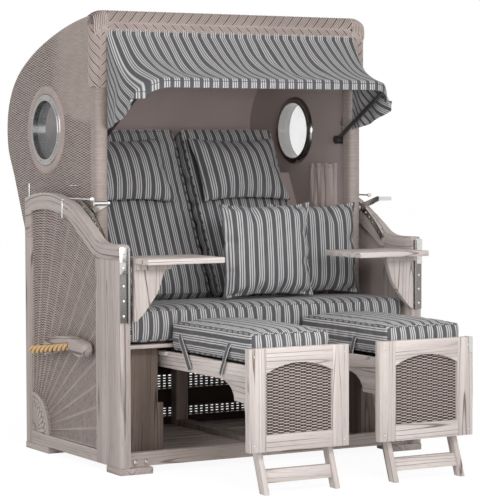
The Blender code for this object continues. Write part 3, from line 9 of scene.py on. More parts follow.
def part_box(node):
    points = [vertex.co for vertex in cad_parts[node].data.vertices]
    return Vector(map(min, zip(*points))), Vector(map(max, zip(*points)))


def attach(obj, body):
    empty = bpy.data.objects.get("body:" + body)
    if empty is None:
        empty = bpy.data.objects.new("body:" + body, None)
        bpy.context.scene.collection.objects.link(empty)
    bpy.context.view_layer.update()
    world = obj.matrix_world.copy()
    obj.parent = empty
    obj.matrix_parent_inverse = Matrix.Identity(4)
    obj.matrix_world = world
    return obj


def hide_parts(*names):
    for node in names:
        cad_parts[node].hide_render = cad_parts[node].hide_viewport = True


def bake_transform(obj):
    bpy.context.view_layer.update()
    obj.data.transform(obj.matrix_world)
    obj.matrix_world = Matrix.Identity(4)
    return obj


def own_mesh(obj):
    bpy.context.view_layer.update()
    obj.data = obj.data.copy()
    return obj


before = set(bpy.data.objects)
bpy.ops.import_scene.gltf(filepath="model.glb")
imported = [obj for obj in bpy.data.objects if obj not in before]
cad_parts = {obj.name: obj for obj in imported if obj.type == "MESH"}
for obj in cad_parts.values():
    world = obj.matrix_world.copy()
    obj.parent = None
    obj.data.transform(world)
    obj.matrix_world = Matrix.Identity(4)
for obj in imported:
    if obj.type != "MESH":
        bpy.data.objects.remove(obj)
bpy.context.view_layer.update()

shiftY = 0.1305275
sides = {"left": -1, "right": 1}
pi = math.pi
print("frame loaded")


def place(x, y, z):
    return Vector((x, y + shiftY, z))


def tone(red, green, blue):
    shares = [value / 255 for value in (red, green, blue)]
    return tuple(((c + 0.055) / 1.055) ** 2.4 if c > 0.04 else c / 12.92 for c in shares) + (1.0,)


def deselect():
    if bpy.context.object and bpy.context.object.mode != "OBJECT":
        bpy.ops.object.mode_set(mode="OBJECT")
    bpy.ops.object.select_all(action="DESELECT")


def pick(*objects):
    deselect()
    for obj in objects:
        obj.select_set(True)
    bpy.context.view_layer.objects.active = objects[-1]


def readAll(data, name, width=1, kind=float):
    # one property of every element of a mesh, as rows when it has several numbers
    flat = np.empty(len(data) * width, dtype=kind)
    data.foreach_get(name, flat)
    return flat.reshape(-1, width) if width > 1 else flat


def points(obj):
    return readAll(obj.data.vertices, "co", 3)


def fieldValues(obj, name):
    return readAll(obj.data.attributes[name].data, "value")


def setPoints(obj, spots):
    obj.data.vertices.foreach_set("co", np.asarray(spots, dtype=np.float32).ravel())
    obj.data.update()


def setField(obj, name, values):
    values = np.asarray(values, dtype=np.float32)
    wide = values.ndim == 2
    field = obj.data.attributes.get(name)
    field = field or obj.data.attributes.new(name, "FLOAT_VECTOR" if wide else "FLOAT", "POINT")
    field.data.foreach_set("vector" if wide else "value", values.ravel())


def layCloth(obj, pattern):
    # pattern gets the point of each face's corner, and gives metres across and along the stripes
    mesh = obj.data
    layer = mesh.uv_layers.get("cloth") or mesh.uv_layers.new(name="cloth")
    across, along = pattern(readAll(mesh.loops, "vertex_index", 1, np.int32))
    layer.data.foreach_set("uv", np.column_stack([across, along]).astype(np.float32).ravel())


def setCloth(obj, pattern):
    # the same for a pattern that gets each corner's place and its face's normal
    spots = points(obj)
    faces = obj.data.polygons
    normals = np.repeat(readAll(faces, "normal", 3), readAll(faces, "loop_total", 1, np.int32), axis=0)
    layCloth(obj, lambda corners: pattern(spots[corners], normals))


def apply(obj, kind, **settings):
    modifier = obj.modifiers.new(kind.lower(), kind)
    for key, value in settings.items():
        setattr(modifier, key, value)
    pick(obj)
    bpy.ops.object.modifier_apply(modifier=modifier.name)


def subdivide(obj, levels=1):
    apply(obj, "SUBSURF", levels=levels, render_levels=levels)


def join(name, pieces):
    pick(*pieces)
    if len(pieces) > 1:
        bpy.ops.object.join()
    result = bpy.context.object
    result.name = name
    result.data.name = name
    return result


def addObject(name, data):
    obj = bpy.data.objects.new(name, data)
    bpy.context.scene.collection.objects.link(obj)
    return obj


def twin(obj, name, mirrorX=False):
    copy = addObject(name, obj.data.copy())
    if mirrorX:
        setPoints(copy, points(copy) * np.array([-1, 1, 1]))
        copy.data.flip_normals()
    return copy


def copyNode(node, name):
    copy = addObject(name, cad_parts[node].data.copy())
    copy.data.materials.clear()
    pick(copy)
    bpy.ops.mesh.customdata_custom_splitnormals_clear()
    bpy.ops.object.mode_set(mode="EDIT")
    bpy.ops.mesh.select_all(action="SELECT")
    bpy.ops.mesh.remove_doubles(threshold=0.00002)
    bpy.ops.mesh.dissolve_limited(angle_limit=math.radians(0.5))
    bpy.ops.object.mode_set(mode="OBJECT")
    return copy


def keepSide(obj, spot, normal):
    # cuts the solid at a plane, keeps what lies behind it and closes the cut
    pick(obj)
    bpy.ops.object.mode_set(mode="EDIT")
    bpy.ops.mesh.select_all(action="SELECT")
    bpy.ops.mesh.bisect(plane_co=spot, plane_no=normal, use_fill=True, clear_outer=True)
    bpy.ops.object.mode_set(mode="OBJECT")


def soften(obj, width, angle=30):
    apply(obj, "BEVEL", width=width, segments=2, limit_method="ANGLE",
          angle_limit=math.radians(angle), use_clamp_overlap=True)


def smooth(obj, angle=35):
    pick(obj)
    bpy.ops.object.shade_smooth_by_angle(angle=math.radians(angle))


def finishPiece(obj, material, body, replaced=(), angle=35):
    obj.data.materials.clear()
    obj.data.materials.append(material)
    smooth(obj, angle)
    if body:
        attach(obj, body)
    if replaced:
        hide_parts(*replaced)
    return obj


def gridPiece(name, across, along, shape, merge=True):
    # a plain grid whose points are laid on a surface: shape gets shares 0 to 1 across and along
    deselect()
    bpy.ops.mesh.primitive_grid_add(x_subdivisions=across, y_subdivisions=along, size=1)
    obj = bpy.context.object
    obj.name = name
    obj.data.name = name
    flat = points(obj)
    u, v = flat[:, 0] + 0.5, flat[:, 1] + 0.5
    made = shape(u, v)
    fields = {}
    if isinstance(made, tuple):
        made, fields = made
    setPoints(obj, made)
    for field, values in fields.items():
        setField(obj, field, values)
    pick(obj)
    bpy.ops.object.mode_set(mode="EDIT")
    bpy.ops.mesh.select_all(action="SELECT")
    if merge:
        bpy.ops.mesh.remove_doubles(threshold=0.00001)
    bpy.ops.mesh.normals_make_consistent(inside=False)
    bpy.ops.object.mode_set(mode="OBJECT")
    return obj


def unit(rows):
    return rows / np.linalg.norm(rows, axis=1)[:, None]


def heading(route):
    # the direction of a line of points at each of them
    return unit(np.gradient(route, axis=0))


def faceAlong(obj, way):
    # turns the faces over where they look away from way on the whole
    total = sum((face.normal for face in obj.data.polygons), Vector())
    if total.dot(Vector(way)) < 0:
        obj.data.flip_normals()


def layWeave(obj, stakes, courses):
    setField(obj, "weave", np.column_stack([stakes, courses, stakes * 0]))


def onBothSides(make, *looks):
    for name, side in sides.items():
        make(side, name, *looks)


def strand(name, route, width, height, up, around=8):
    # a flat or round rod along route, width across and height along up, closed to a point at both ends
    route = np.asarray([tuple(spot) for spot in route], dtype=float)
    count = len(route)
    run = heading(route)
    side = unit(np.cross(run, np.broadcast_to(np.asarray(up, dtype=float), route.shape)))
    top = np.cross(side, run)

    def shape(u, v):
        station = np.rint(v * (count + 1)).astype(int)
        index = np.clip(station - 1, 0, count - 1)
        open = np.where((station == 0) | (station == count + 1), 0.0, 1.0)[:, None]
        angle = 2 * pi * u
        spots = route[index] + open * side[index] * (np.cos(angle) * width / 2)[:, None]
        spots = spots + open * top[index] * (np.sin(angle) * height / 2)[:, None]
        return spots, {"crest": 0.5 + 0.5 * np.sin(angle)}

    return gridPiece(name, around, count + 1, shape)


def disc(name, centre, axis, radius, depth, bevel):
    # a turned head lying with its flat towards axis
    deselect()
    turn = Vector(axis).to_track_quat("Z", "Y").to_euler()
    middle = Vector(centre) + Vector(axis).normalized() * depth / 2
    bpy.ops.mesh.primitive_cylinder_add(
        vertices=20, radius=radius, depth=depth, location=middle, rotation=turn)
    obj = bpy.context.object
    obj.name = name
    bpy.ops.object.transform_apply(location=True, rotation=True, scale=True)
    soften(obj, bevel, 40)
    return obj


def circled(x, look, reach, angle, way=1):
    # spots about the look's middle, their angles from the rear, or from the front when way is -1
    y = look["y"] + shiftY + way * reach * np.cos(angle)
    return np.column_stack([x, y, look["z"] + reach * np.sin(angle)])


def screwHead(name, centre, axis, radius):
    # a domed head with a cross slot pressed in
    head = disc(name, centre, axis, radius, radius * 0.55, radius * 0.25)
    way = Vector(axis).normalized()
    other = way.orthogonal().normalized()
    face = Vector(centre) + way * radius * 0.6
    for line in (way.cross(other), other):
        deselect()
        bpy.ops.mesh.primitive_cube_add(size=1, location=face)
        cutter = bpy.context.object
        slot = Matrix((line * radius * 1.1, way.cross(line) * radius * 0.24, way * radius * 0.4)).transposed()
        setPoints(cutter, points(cutter) @ np.array(slot).T)
        apply(head, "BOOLEAN", object=cutter, operation="DIFFERENCE", solver="EXACT")
        bpy.data.objects.remove(cutter)
    return head


def plate(name, low, high, bevel=0.0008):
    # a block between two corners, with broken edges
    deselect()
    low, high = place(*low), place(*high)
    bpy.ops.mesh.primitive_cube_add(size=1, location=(low + high) / 2)
    obj = bpy.context.object
    obj.name = name
    obj.scale = [abs(v) for v in (high - low)]
    bpy.ops.object.transform_apply(location=True, rotation=True, scale=True)
    soften(obj, bevel)
    return obj


class Socket:
    def __init__(self, shader, output):
        self.shader = shader
        self.output = output

    def math(self, operation, first, second=0.0):
        return self.shader.add("ShaderNodeMath", {"operation": operation}, {0: first, 1: second})

    def fellow(self, output):
        # another output of the same node
        return Socket(self.shader, self.output.node.outputs[output])

    def ramp(self, low, high, start=0.0, end=1.0):
        return self.shader.add(
            "ShaderNodeMapRange", {"interpolation_type": "SMOOTHSTEP"},
            {"Value": self, "From Min": low, "From Max": high, "To Min": start, "To Max": end})


def forward(operation):
    return lambda self, other=0.0: self.math(operation, self, other)


def backward(operation):
    return lambda self, other: self.math(operation, other, self)


for method, operation in {"add": "ADD", "sub": "SUBTRACT", "mul": "MULTIPLY", "truediv": "DIVIDE"}.items():
    setattr(Socket, f"__{method}__", forward(operation))
    setattr(Socket, f"__r{method}__", backward(operation))
for method, operation in {"floor": "FLOOR", "fract": "FRACT", "cosine": "COSINE", "root": "SQRT",
                          "size": "ABSOLUTE", "greatest": "MAXIMUM"}.items():
    setattr(Socket, method, forward(operation))


class Shader:
    # the nodes of a new material, or of the world handed in
    def __init__(self, name, owner=None):
        self.material = owner or bpy.data.materials.new(name)
        self.material.use_nodes = True
        self.tree = self.material.node_tree
        self.tree.nodes.clear()

    def add(self, kind, settings=None, inputs=None, output=0):
        node = self.tree.nodes.new(kind)
        for key, value in (settings or {}).items():
            if key == "stops":
                while len(node.color_ramp.elements) < len(value):
                    node.color_ramp.elements.new(0.5)
                for element, (spot, colour) in zip(node.color_ramp.elements, value):
                    element.position = spot
                    element.color = colour
            else:
                setattr(node, key, value)
        for key, value in (inputs or {}).items():
            if isinstance(value, Socket):
                self.tree.links.new(value.output, node.inputs[key])
            else:
                node.inputs[key].default_value = value
        return None if output is None else Socket(self, node.outputs[output])

    def parts(self, vector):
        first = self.add("ShaderNodeSeparateXYZ", {}, {0: vector})
        return [first.fellow(number) for number in range(3)]

    def vector(self, x, y, z):
        return self.add("ShaderNodeCombineXYZ", {}, {0: x, 1: y, 2: z})

    def scaled(self, vector, scale):
        return self.add("ShaderNodeVectorMath", {"operation": "MULTIPLY"}, {0: vector, 1: scale})

    def spot(self):
        return self.add("ShaderNodeTexCoord", {}, {}, "Object")

    def field(self, name, output="Vector"):
        return self.add("ShaderNodeAttribute", {"attribute_name": name}, {}, output)

    def noise(self, vector, detail=2.0, roughness=0.5):
        return self.add("ShaderNodeTexNoise", {}, {
            "Vector": vector, "Scale": 1.0, "Detail": detail, "Roughness": roughness})

    def cloud(self, scale, detail=2.0, roughness=0.5):
        # noise over the object, with one scale or one for each axis
        scales = scale if isinstance(scale, tuple) else (scale, scale, scale)
        return self.noise(self.scaled(self.spot(), scales), detail, roughness)

    def mix(self, factor, first, second):
        return self.add("ShaderNodeMix", {"data_type": "RGBA"}, {0: factor, 6: first, 7: second}, 2)

    def seen(self):
        # one for the rays that end in the picture, also through glass or off a shiny face
        path = self.add("ShaderNodeLightPath", {}, {}, "Is Camera Ray")
        return path.greatest(path.fellow("Is Glossy Ray")).greatest(path.fellow("Is Transmission Ray"))

    def end(self, surface, kind="ShaderNodeOutputMaterial"):
        self.add(kind, {}, {"Surface": surface}, None)
        return self.material

    def surface(self, colour, roughness, height=None, reach=0.001, strength=0.5, **constants):
        sockets = {"Base Color": colour, "Roughness": roughness, **constants}
        if height is not None:
            sockets["Normal"] = self.add("ShaderNodeBump", {}, {
                "Height": height, "Distance": reach, "Strength": strength})
        return self.end(self.add("ShaderNodeBsdfPrincipled", {}, sockets))


stripeLook = {
    "pitch": 0.0385, "band": tone(86, 86, 89), "gap": tone(104, 104, 107), "line": tone(208, 206, 206),
    "thread": 0.0011, "bump": 0.00035,
}


def stripedCloth(name, look):
    shader = Shader(name)
    across, along, _ = shader.parts(shader.add("ShaderNodeUVMap", {"uv_map": "cloth"}))
    spread = (across / look["pitch"] - 0.395).fract()
    cell = (spread / 0.22).fract()
    inside = 1 - spread.ramp(0.655, 0.665)
    line = (1 - (cell - 0.5).size().ramp(0.19, 0.30)) * inside
    ground = shader.mix(inside, look["band"], look["gap"])
    turn = 2 * pi / look["thread"]
    weave = (across * turn).cosine() * (along * turn).cosine() * 0.5 + 0.5
    slub = shader.noise(shader.vector(across * 900, along * 60, 0), 2)
    drift = shader.cloud(7, 3)
    colour = shader.mix(line * (0.80 + slub * 0.3), ground, look["line"])
    colour = shader.mix((1 - weave) * 0.16, colour, tone(40, 40, 42))
    colour = shader.mix(drift.ramp(0.45, 0.75) * 0.12, colour, tone(150, 148, 150))
    height = weave * 0.6 + slub * 0.5 + line * 0.35
    return shader.surface(colour, 0.84 + slub * 0.1, height, look["bump"], 0.5, **{
        "Sheen Weight": 0.12, "Sheen Roughness": 0.5, "Specular IOR Level": 0.25})


def woodGrain(name, base, light, dark, order=None, carved=False):
    # the grain runs along the first number of the board's own field, or of the object's axes in that order
    shader = Shader(name)
    if order:
        axes = shader.parts(shader.spot())
        board = shader.vector(*[axes[n] for n in order])
    else:
        board = shader.field("grain")

    def streaks(along, across, detail, roughness=0.5):
        return shader.noise(shader.scaled(board, (along, across, across)), detail, roughness)

    wander = streaks(4.0, 60.0, 2)
    rings = streaks(0.50, 13.0, 0.0, 0.4)
    ring = (rings * 11.0 + wander * 0.30).fract()
    line = ring.ramp(0.0, 0.05) * (1 - ring.ramp(0.07, 0.20))
    pores = streaks(16.0, 420.0, 2, 0.6).ramp(0.52, 0.72)
    broad = streaks(0.9, 34.0, 2).ramp(0.35, 0.7)
    strength = streaks(3.0, 24.0, 1).ramp(0.34, 0.60, 0.15, 1.0)
    colour = shader.mix(broad, base, light)
    colour = shader.mix(pores * 0.28, colour, dark)
    colour = shader.mix(line * strength * 0.92, colour, dark)
    # the carved grooves get painted shade
    if carved:
        colour = shader.mix(shader.field("carve", "Fac") * 0.80, colour, dark)
    height = 1 - line * 0.7 - pores * 0.35
    return shader.surface(colour, 0.66 + pores * 0.15, height, 0.0006, 0.55, **{
        "Specular IOR Level": 0.35})


# the wicker colours are painted light and shade: gap for the shade between strands, side for their flanks,
# top for their painted highlight; dense is the lit crown of the wraps
wickerLook = {"gap": tone(50, 40, 37), "side": tone(136, 121, 115), "top": tone(182, 166, 160),
              "dense": tone(164, 149, 143)}


def wovenWicker(name, look, relief=0.0020, over=1.0, packed=False, under=False):
    # the weave field holds the stake, the row and the rib; the colour is painted light and shade from the
    # weave's height, dark in the gaps and lit on top, painted highlight on the ribs; over is how far the rows
    # dip behind the stakes, packed adds the close, smooth field at the hood's front with painted shade on its
    # wraps' sides, under paints shade on the rim where the braid covers it
    shader = Shader(name)
    stake, course, rib = shader.parts(shader.field("weave"))
    index = course.floor()
    part = course - index
    swing = ((stake + index) * pi).cosine()
    front = (swing.ramp(-0.50, 0.35) * over + 1 - over).greatest(rib)
    bulge = (4 * part * (1 - part)).root()
    height = front * (bulge * 0.65 + 0.35)
    # painted light and shade: low parts of the weave dark, high parts light
    colour = shader.add("ShaderNodeValToRGB", {"stops": [
        (0.12, look["gap"]), (0.52, look["side"]), (0.94, look["top"])]}, {0: height})
    # painted highlight on the raised ribs
    colour = shader.mix(rib * 0.45, colour, tone(198, 184, 178))
    if packed:
        _, y, z = shader.parts(shader.spot())
        edge = shader.cloud(20, 2)
        tight = (1 - y.ramp(0.30, 0.46)) * (z + edge * 0.05 - y * 0.15).ramp(1.225, 1.245)
        # painted shade on the sides of each wrap, its crown lighter
        fine = shader.mix(bulge.ramp(0.1, 0.8), tone(150, 134, 127), look["dense"])
        colour = shader.mix(tight * 0.85, colour, fine)
        height = height * (1 - tight * 0.7)
    drift = shader.cloud(9, 3).ramp(0.35, 0.7)
    strandTone = shader.noise(shader.vector(stake * 0.4, index * 3.7, 0), 1).ramp(0.3, 0.7)
    # painted shade on the rim where the braid covers it
    if under:
        _, _, level = shader.parts(shader.spot())
        colour = shader.mix(level.ramp(1.352, 1.362) * 0.8, colour, look["gap"])
    colour = shader.mix(drift * 0.22, colour, tone(120, 104, 98))
    colour = shader.mix(strandTone * 0.18, colour, tone(205, 190, 182))
    return shader.surface(colour, 0.58 - height * 0.1, height, relief, 0.6, **{
        "Specular IOR Level": 0.4})


def looseStrand(name, shade, edge, dark=0.75):
    # plaited or single strands: painted shade low on their sides, with a faint run of fibres
    shader = Shader(name)
    crest = shader.field("crest", "Fac")
    drift = shader.cloud(60, 3)
    broad = shader.cloud(8, 2).ramp(0.35, 0.7)
    # painted shade: the low sides of each strand mixed towards the edge colour by dark
    colour = shader.mix((1 - crest.ramp(0.55, 0.93)) * dark, shade, edge)
    colour = shader.mix(broad * 0.16, colour, tone(126, 110, 103))
    return shader.surface(colour, 0.46 + drift * 0.2, drift, 0.0004, 0.5, **{
        "Specular IOR Level": 0.45})


def plainCloth(name, shade, low, thread=0.0014):
    shader = Shader(name)
    x, y, z = shader.parts(shader.spot())
    turn = 2 * pi / thread
    weave = ((x + y) * turn).cosine() * (z * turn).cosine() * 0.5 + 0.5
    drift = shader.cloud(5, 4).ramp(0.3, 0.7)
    colour = shader.mix(drift * 0.5, shade, low)
    colour = shader.mix((1 - weave) * 0.12, colour, tone(60, 52, 50))
    return shader.surface(colour, 0.86 + weave * 0.06, weave, 0.0004, 0.35, **{
        "Sheen Weight": 0.15, "Specular IOR Level": 0.2})


def polishedMetal(name, shade, rough, metallic=1.0):
    shader = Shader(name)
    rub = shader.cloud((40, 40, 160), 4, 0.6)
    spots = shader.cloud(12, 3).ramp(0.45, 0.75)
    colour = shader.mix(spots * 0.25, shade, tone(150, 148, 146))
    return shader.surface(colour, rough + rub * 0.12, rub, 0.0001, 0.2, Metallic=metallic)


def laidRope(name, shade, grooveShade):
    shader = Shader(name)
    crest = shader.field("crest", "Fac")
    lay = shader.field("lay")
    fibre = shader.noise(shader.scaled(lay, (120, 7, 0)), 3, 0.7)
    fuzz = shader.cloud(500, 2)
    # painted shade where the strands turn in towards the rope's core
    colour = shader.mix((1 - crest.ramp(0.70, 0.95)) * 0.85, shade, grooveShade)
    colour = shader.mix(fibre.ramp(0.45, 0.75) * 0.35, colour, tone(248, 214, 150))
    return shader.surface(colour, 0.7 + fibre * 0.2, fibre * 0.7 + fuzz * 0.3, 0.0008, 0.7, **{
        "Sheen Weight": 0.25})


def clearPane(name):
    shader = Shader(name)
    grime = shader.cloud(14, 3).ramp(0.4, 0.8)
    colour = shader.mix(grime * 0.4, tone(236, 240, 242), tone(214, 218, 220))
    return shader.surface(colour, 0.03 + grime * 0.05, Alpha=0.10 + grime * 0.05)


cloth = stripedCloth("striped_cloth", stripeLook)
postTones = (tone(176, 164, 159), tone(194, 183, 178), tone(98, 84, 80))
postWood = woodGrain("whitewashed_wood", *postTones)
# the sunburst's wood, with painted shade in its grooves
grooveShadedWood = woodGrain("groove_shaded_wood", *postTones, carved=True)
paleWood = woodGrain("pale_wood", tone(197, 186, 181), tone(215, 206, 202), tone(112, 97, 91))
crossWood = woodGrain("inner_wood_across", tone(186, 173, 166), tone(207, 195, 188), tone(106, 92, 86),
                      order=(0, 1, 2))
uprightWood = woodGrain("inner_wood_upright", tone(172, 159, 151), tone(190, 178, 171), tone(108, 94, 88),
                        order=(2, 0, 1))
seatBoxWood = woodGrain("seat_box_wood", tone(104, 90, 82), tone(122, 107, 98), tone(58, 47, 43),
                        order=(2, 0, 1))
wicker = wovenWicker("woven_wicker", wickerLook)
# each strand material's second colour is the painted shade on the strands' low sides
braidStrand = looseStrand("braid_strand", tone(186, 171, 165), tone(70, 58, 54), 0.92)
windowStrand = looseStrand("window_strand", tone(194, 180, 174), tone(56, 46, 43), 0.95)
# a darker copy of the wicker strands for the rear wall's open bands: painted shade
rearShadedStrand = looseStrand("rear_shaded_strand", tone(92, 80, 74), tone(34, 26, 24), 0.95)
# dark cloth for sheets of painted shade inside the chair
shadeSheetCloth = plainCloth("inner_shade", tone(62, 51, 47), tone(52, 42, 39))
hingeSteel = polishedMetal("hinge_steel", tone(134, 131, 129), 0.22)
lining = plainCloth("lining_cloth", tone(190, 174, 170), tone(178, 162, 158))
chrome = polishedMetal("chrome", tone(215, 214, 213), 0.09)
brushed = polishedMetal("plated_steel", tone(190, 187, 183), 0.24)
coated = polishedMetal("coated_tube", tone(70, 70, 70), 0.30, 0.6)
ropeGold = laidRope("laid_rope", tone(226, 186, 126), tone(146, 94, 46))
pane = clearPane("clear_pane")
print("materials made")


cameraSet = {"spot": (-3.7488, -6.6361, 1.1326), "turn": 29.4872, "down": 2.8028, "roll": -0.16,
             "lens": 2063.6 / 497 * 36}


def addCamera(look):
    turn, down, roll = (math.radians(look[key]) for key in ("turn", "down", "roll"))
    ahead = Vector((math.sin(turn) * math.cos(down), math.cos(turn) * math.cos(down), -math.sin(down)))
    right = ahead.cross(Vector((0, 0, 1))).normalized()
    up = right.cross(ahead)
    rightRolled = right * math.cos(roll) + up * math.sin(roll)
    upRolled = up * math.cos(roll) - right * math.sin(roll)
    data = bpy.data.cameras.new("view")
    data.sensor_width = 36
    data.sensor_fit = "AUTO"
    data.lens = look["lens"]
    data.clip_end = 100
    obj = addObject("view", data)
    turned = Matrix((rightRolled, upRolled, -ahead)).transposed().to_4x4()
    obj.matrix_world = Matrix.Translation(look["spot"]) @ turned
    bpy.context.scene.camera = obj


addCamera(cameraSet)


ropeSet = {"reach": 0.6611, "stop": 0.250, "start": -0.064, "high": 0.424, "low": 0.385, "panel": 0.6156,
           "diameter": 0.028, "turns": 3.3, "strands": 3, "strandShare": 0.49, "armShare": 0.262,
           "steps": 150}


def ropeRoute(side, look, steps=6):
    route = []
    for step in range(steps + 1):
        y = look["start"] + (look["stop"] - look["start"]) * step / steps
        route.append((side * look["reach"], y, look["high"] + (look["low"] - look["high"]) * step / steps))
    radius = look["reach"] - look["panel"]
    for step in range(1, steps):
        angle = pi / 2 * step / steps
        route.append((side * (look["panel"] + radius * math.cos(angle)),
                      look["stop"] + radius * math.sin(angle), look["low"]))
    route.append((side * (look["panel"] + 0.002), look["stop"] + radius, look["low"]))
    route.append((side * (look["panel"] + 0.0003), look["stop"] + radius, look["low"]))
    return [place(*spot) for spot in route]


def even(route, count):
    # the same line with evenly spaced points
    route = np.asarray([tuple(spot) for spot in route], dtype=float)
    steps = np.concatenate([[0], np.cumsum(np.linalg.norm(np.diff(route, axis=0), axis=1))])
    wanted = np.linspace(0, steps[-1], count)
    return np.column_stack([np.interp(wanted, steps, part) for part in route.T]), steps[-1]


def makeRope(side, name, look):
    count = look["steps"]
    line, length = even(ropeRoute(side, look), count)
    run = heading(line)
    over = unit(np.cross(run, (0, 0, 1.0)))
    top = np.cross(over, run)
    strands = []
    for number in range(look["strands"]):
        angle = 2 * pi * (look["turns"] * np.linspace(0, 1, count) + number / look["strands"])
        out = over * np.cos(angle)[:, None] + top * np.sin(angle)[:, None]
        thick, arm = (look["diameter"] * look[share] for share in ("strandShare", "armShare"))
        piece = strand(f"ropeStrand{number}", line + out * arm, thick, thick, out, 12)
        spots = points(piece)
        near = np.abs(spots[:, None, :] - line[None, :, :]).sum(axis=2).argmin(axis=1)
        away = np.linalg.norm(spots - line[near], axis=1)
        setField(piece, "crest", np.clip(away / (look["diameter"] / 2), 0, 1))
        along = near / count * length
        setField(piece, "lay", np.column_stack([spots @ np.array([1, 1, 3.0]), along, near * 0]))
        strands.append(piece)
    rope = join("rope_handle_" + name, strands)
    finishPiece(rope, ropeGold, "base", ["rope_" + name], 60)


onBothSides(makeRope, ropeSet)
print("ropes laid")


armEdgeShares = [(1.00, 0.87), (0.87, 0.94), (0.64, 1.00), (0.41, 0.99), (0.15, 0.88), (-0.03, 0.74),
                 (-0.235, 0.48), (-0.405, 0.25), (-0.525, 0.08), (-0.65, 0.006), (-0.80, 0.0), (-0.97, 0.0)]
hoodBackShares = [(-0.054, 0.9985), (0.132, 0.9880), (0.283, 0.9755), (0.483, 0.9520), (0.684, 0.9195),
                  (0.852, 0.8765), (0.954, 0.8250), (0.998, 0.7600), (0.984, 0.6900), (0.908, 0.6260),
                  (0.805, 0.5280), (0.676, 0.4140), (0.571, 0.3400)]


def smoothLine(spots, steps):
    # a smooth line through all the spots
    spots = np.asarray(spots, dtype=float)
    line = []
    for index in range(len(spots) - 1):
        before = spots[max(index - 1, 0)]
        first, second = spots[index], spots[index + 1]
        after = spots[min(index + 2, len(spots) - 1)]
        for step in range(steps):
            t = step / steps
            line.append(0.5 * (2 * first + (second - before) * t
                               + (2 * before - 5 * first + 4 * second - after) * t * t
                               + (3 * first - before - 3 * second + after) * t ** 3))
    return np.array(line + [spots[-1]])


armHalf, armLow, armRise = 0.4035, 0.798, 0.169
hoodDepth, hoodTop = 0.742, 1.62
armEdge = smoothLine([(y * armHalf, armLow + z * armRise) for y, z in armEdgeShares], 6)
hoodBack = smoothLine([(y * hoodDepth, z * hoodTop) for y, z in hoodBackShares], 6)


def grainAlong(obj, way, offset=(0, 0, 0)):
    # along, across and through the board, in metres, moved on for each board
    way = Vector(way).normalized()
    other = Vector((1, 0, 0)) if abs(way.x) < 0.7 else Vector((0, 0, 1))
    third = way.cross(other).normalized()
    other = third.cross(way).normalized()
    frameAxes = np.array([tuple(way), tuple(third), tuple(other)])
    setField(obj, "grain", points(obj) @ frameAxes.T + np.array(offset))


def grainByArch(obj, offset):
    # the arched rail's grain follows its curve
    spots = points(obj)
    line, length = even([(0, y, z) for y, z in armEdge], 160)
    flat = spots[:, 1] - shiftY
    gaps = (flat[:, None] - line[None, :, 1]) ** 2 + (spots[:, 2][:, None] - line[None, :, 2]) ** 2
    near = gaps.argmin(axis=1)
    setField(obj, "grain", np.column_stack(
        [near / (len(line) - 1) * length, np.sqrt(gaps.min(axis=1)), spots[:, 0]]) + np.array(offset))


def cut(axis, at, way):
    # a plane across one axis, and the side of it that goes
    return [[length * (letter == axis) for letter in "xyz"] for length in (at, way)]


def board(node, name, cuts, grain, offset, bevel=0.0012):
    # one board of a glued-up node: cuts are planes, each a spot and the side that goes
    obj = copyNode(node, name)
    for spot, normal in cuts:
        keepSide(obj, place(*spot), normal)
    soften(obj, bevel)
    if grain == "arch":
        apply(obj, "SUBSURF", levels=2, render_levels=2, subdivision_type="SIMPLE")
        grainByArch(obj, offset)
    else:
        grainAlong(obj, grain, offset)
    return obj


armSet = {"front": -0.21, "rear": 0.35, "rail": 0.07, "postTop": 0.745, "stileTop": 0.80, "archLow": 0.60,
          "battenLow": 0.39, "battenHigh": 0.47, "seam": 0.00015, "disc": 0.148, "outer": 0.6256, "rays": 7}


def makeArm(side, name, look):
    node = "side_frame_" + name
    front, rear, seam = look["front"], look["rear"], look["seam"]
    middle = [cut("y", front + seam, -1), cut("y", rear - seam, 1)]
    upright, level, arched = (0, 0, 1), (0, 1, 0), (side, 2, 0)
    postTop, stileTop = look["postTop"], look["stileTop"]
    # the arched rail is cut from the front post's top, the stile's top and what lies between
    arm = join("arm_panel_" + name, [
        board(node, "post", [cut("y", front - seam, 1), cut("z", postTop - seam, 1)],
              upright, (side * 3, 0, 1)),
        board(node, "stile", [cut("y", rear + seam, -1), cut("z", stileTop - seam, 1)],
              upright, (side * 5, 4, 2)),
        board(node, "rail", middle + [cut("z", look["rail"], 1)], level, (side * 7, 1, 5)),
        board(node, "batten", middle + [cut("z", look["battenLow"], -1), cut("z", look["battenHigh"], 1)],
              level, (side * 2, 3, 5)),
        board(node, "archFront", [cut("y", front - seam, 1), cut("z", postTop + seam, -1)], "arch", arched),
        board(node, "archRear", [cut("y", rear + seam, -1), cut("z", stileTop + seam, -1)], "arch", arched),
        board(node, "archMiddle", middle + [cut("z", look["archLow"], -1)], "arch", arched),
    ])
    finishPiece(arm, postWood, "base", [node], 30)
    finishPiece(makeSunburst(side, look), grooveShadedWood, "base", (), 30).name = "sunburst_" + name


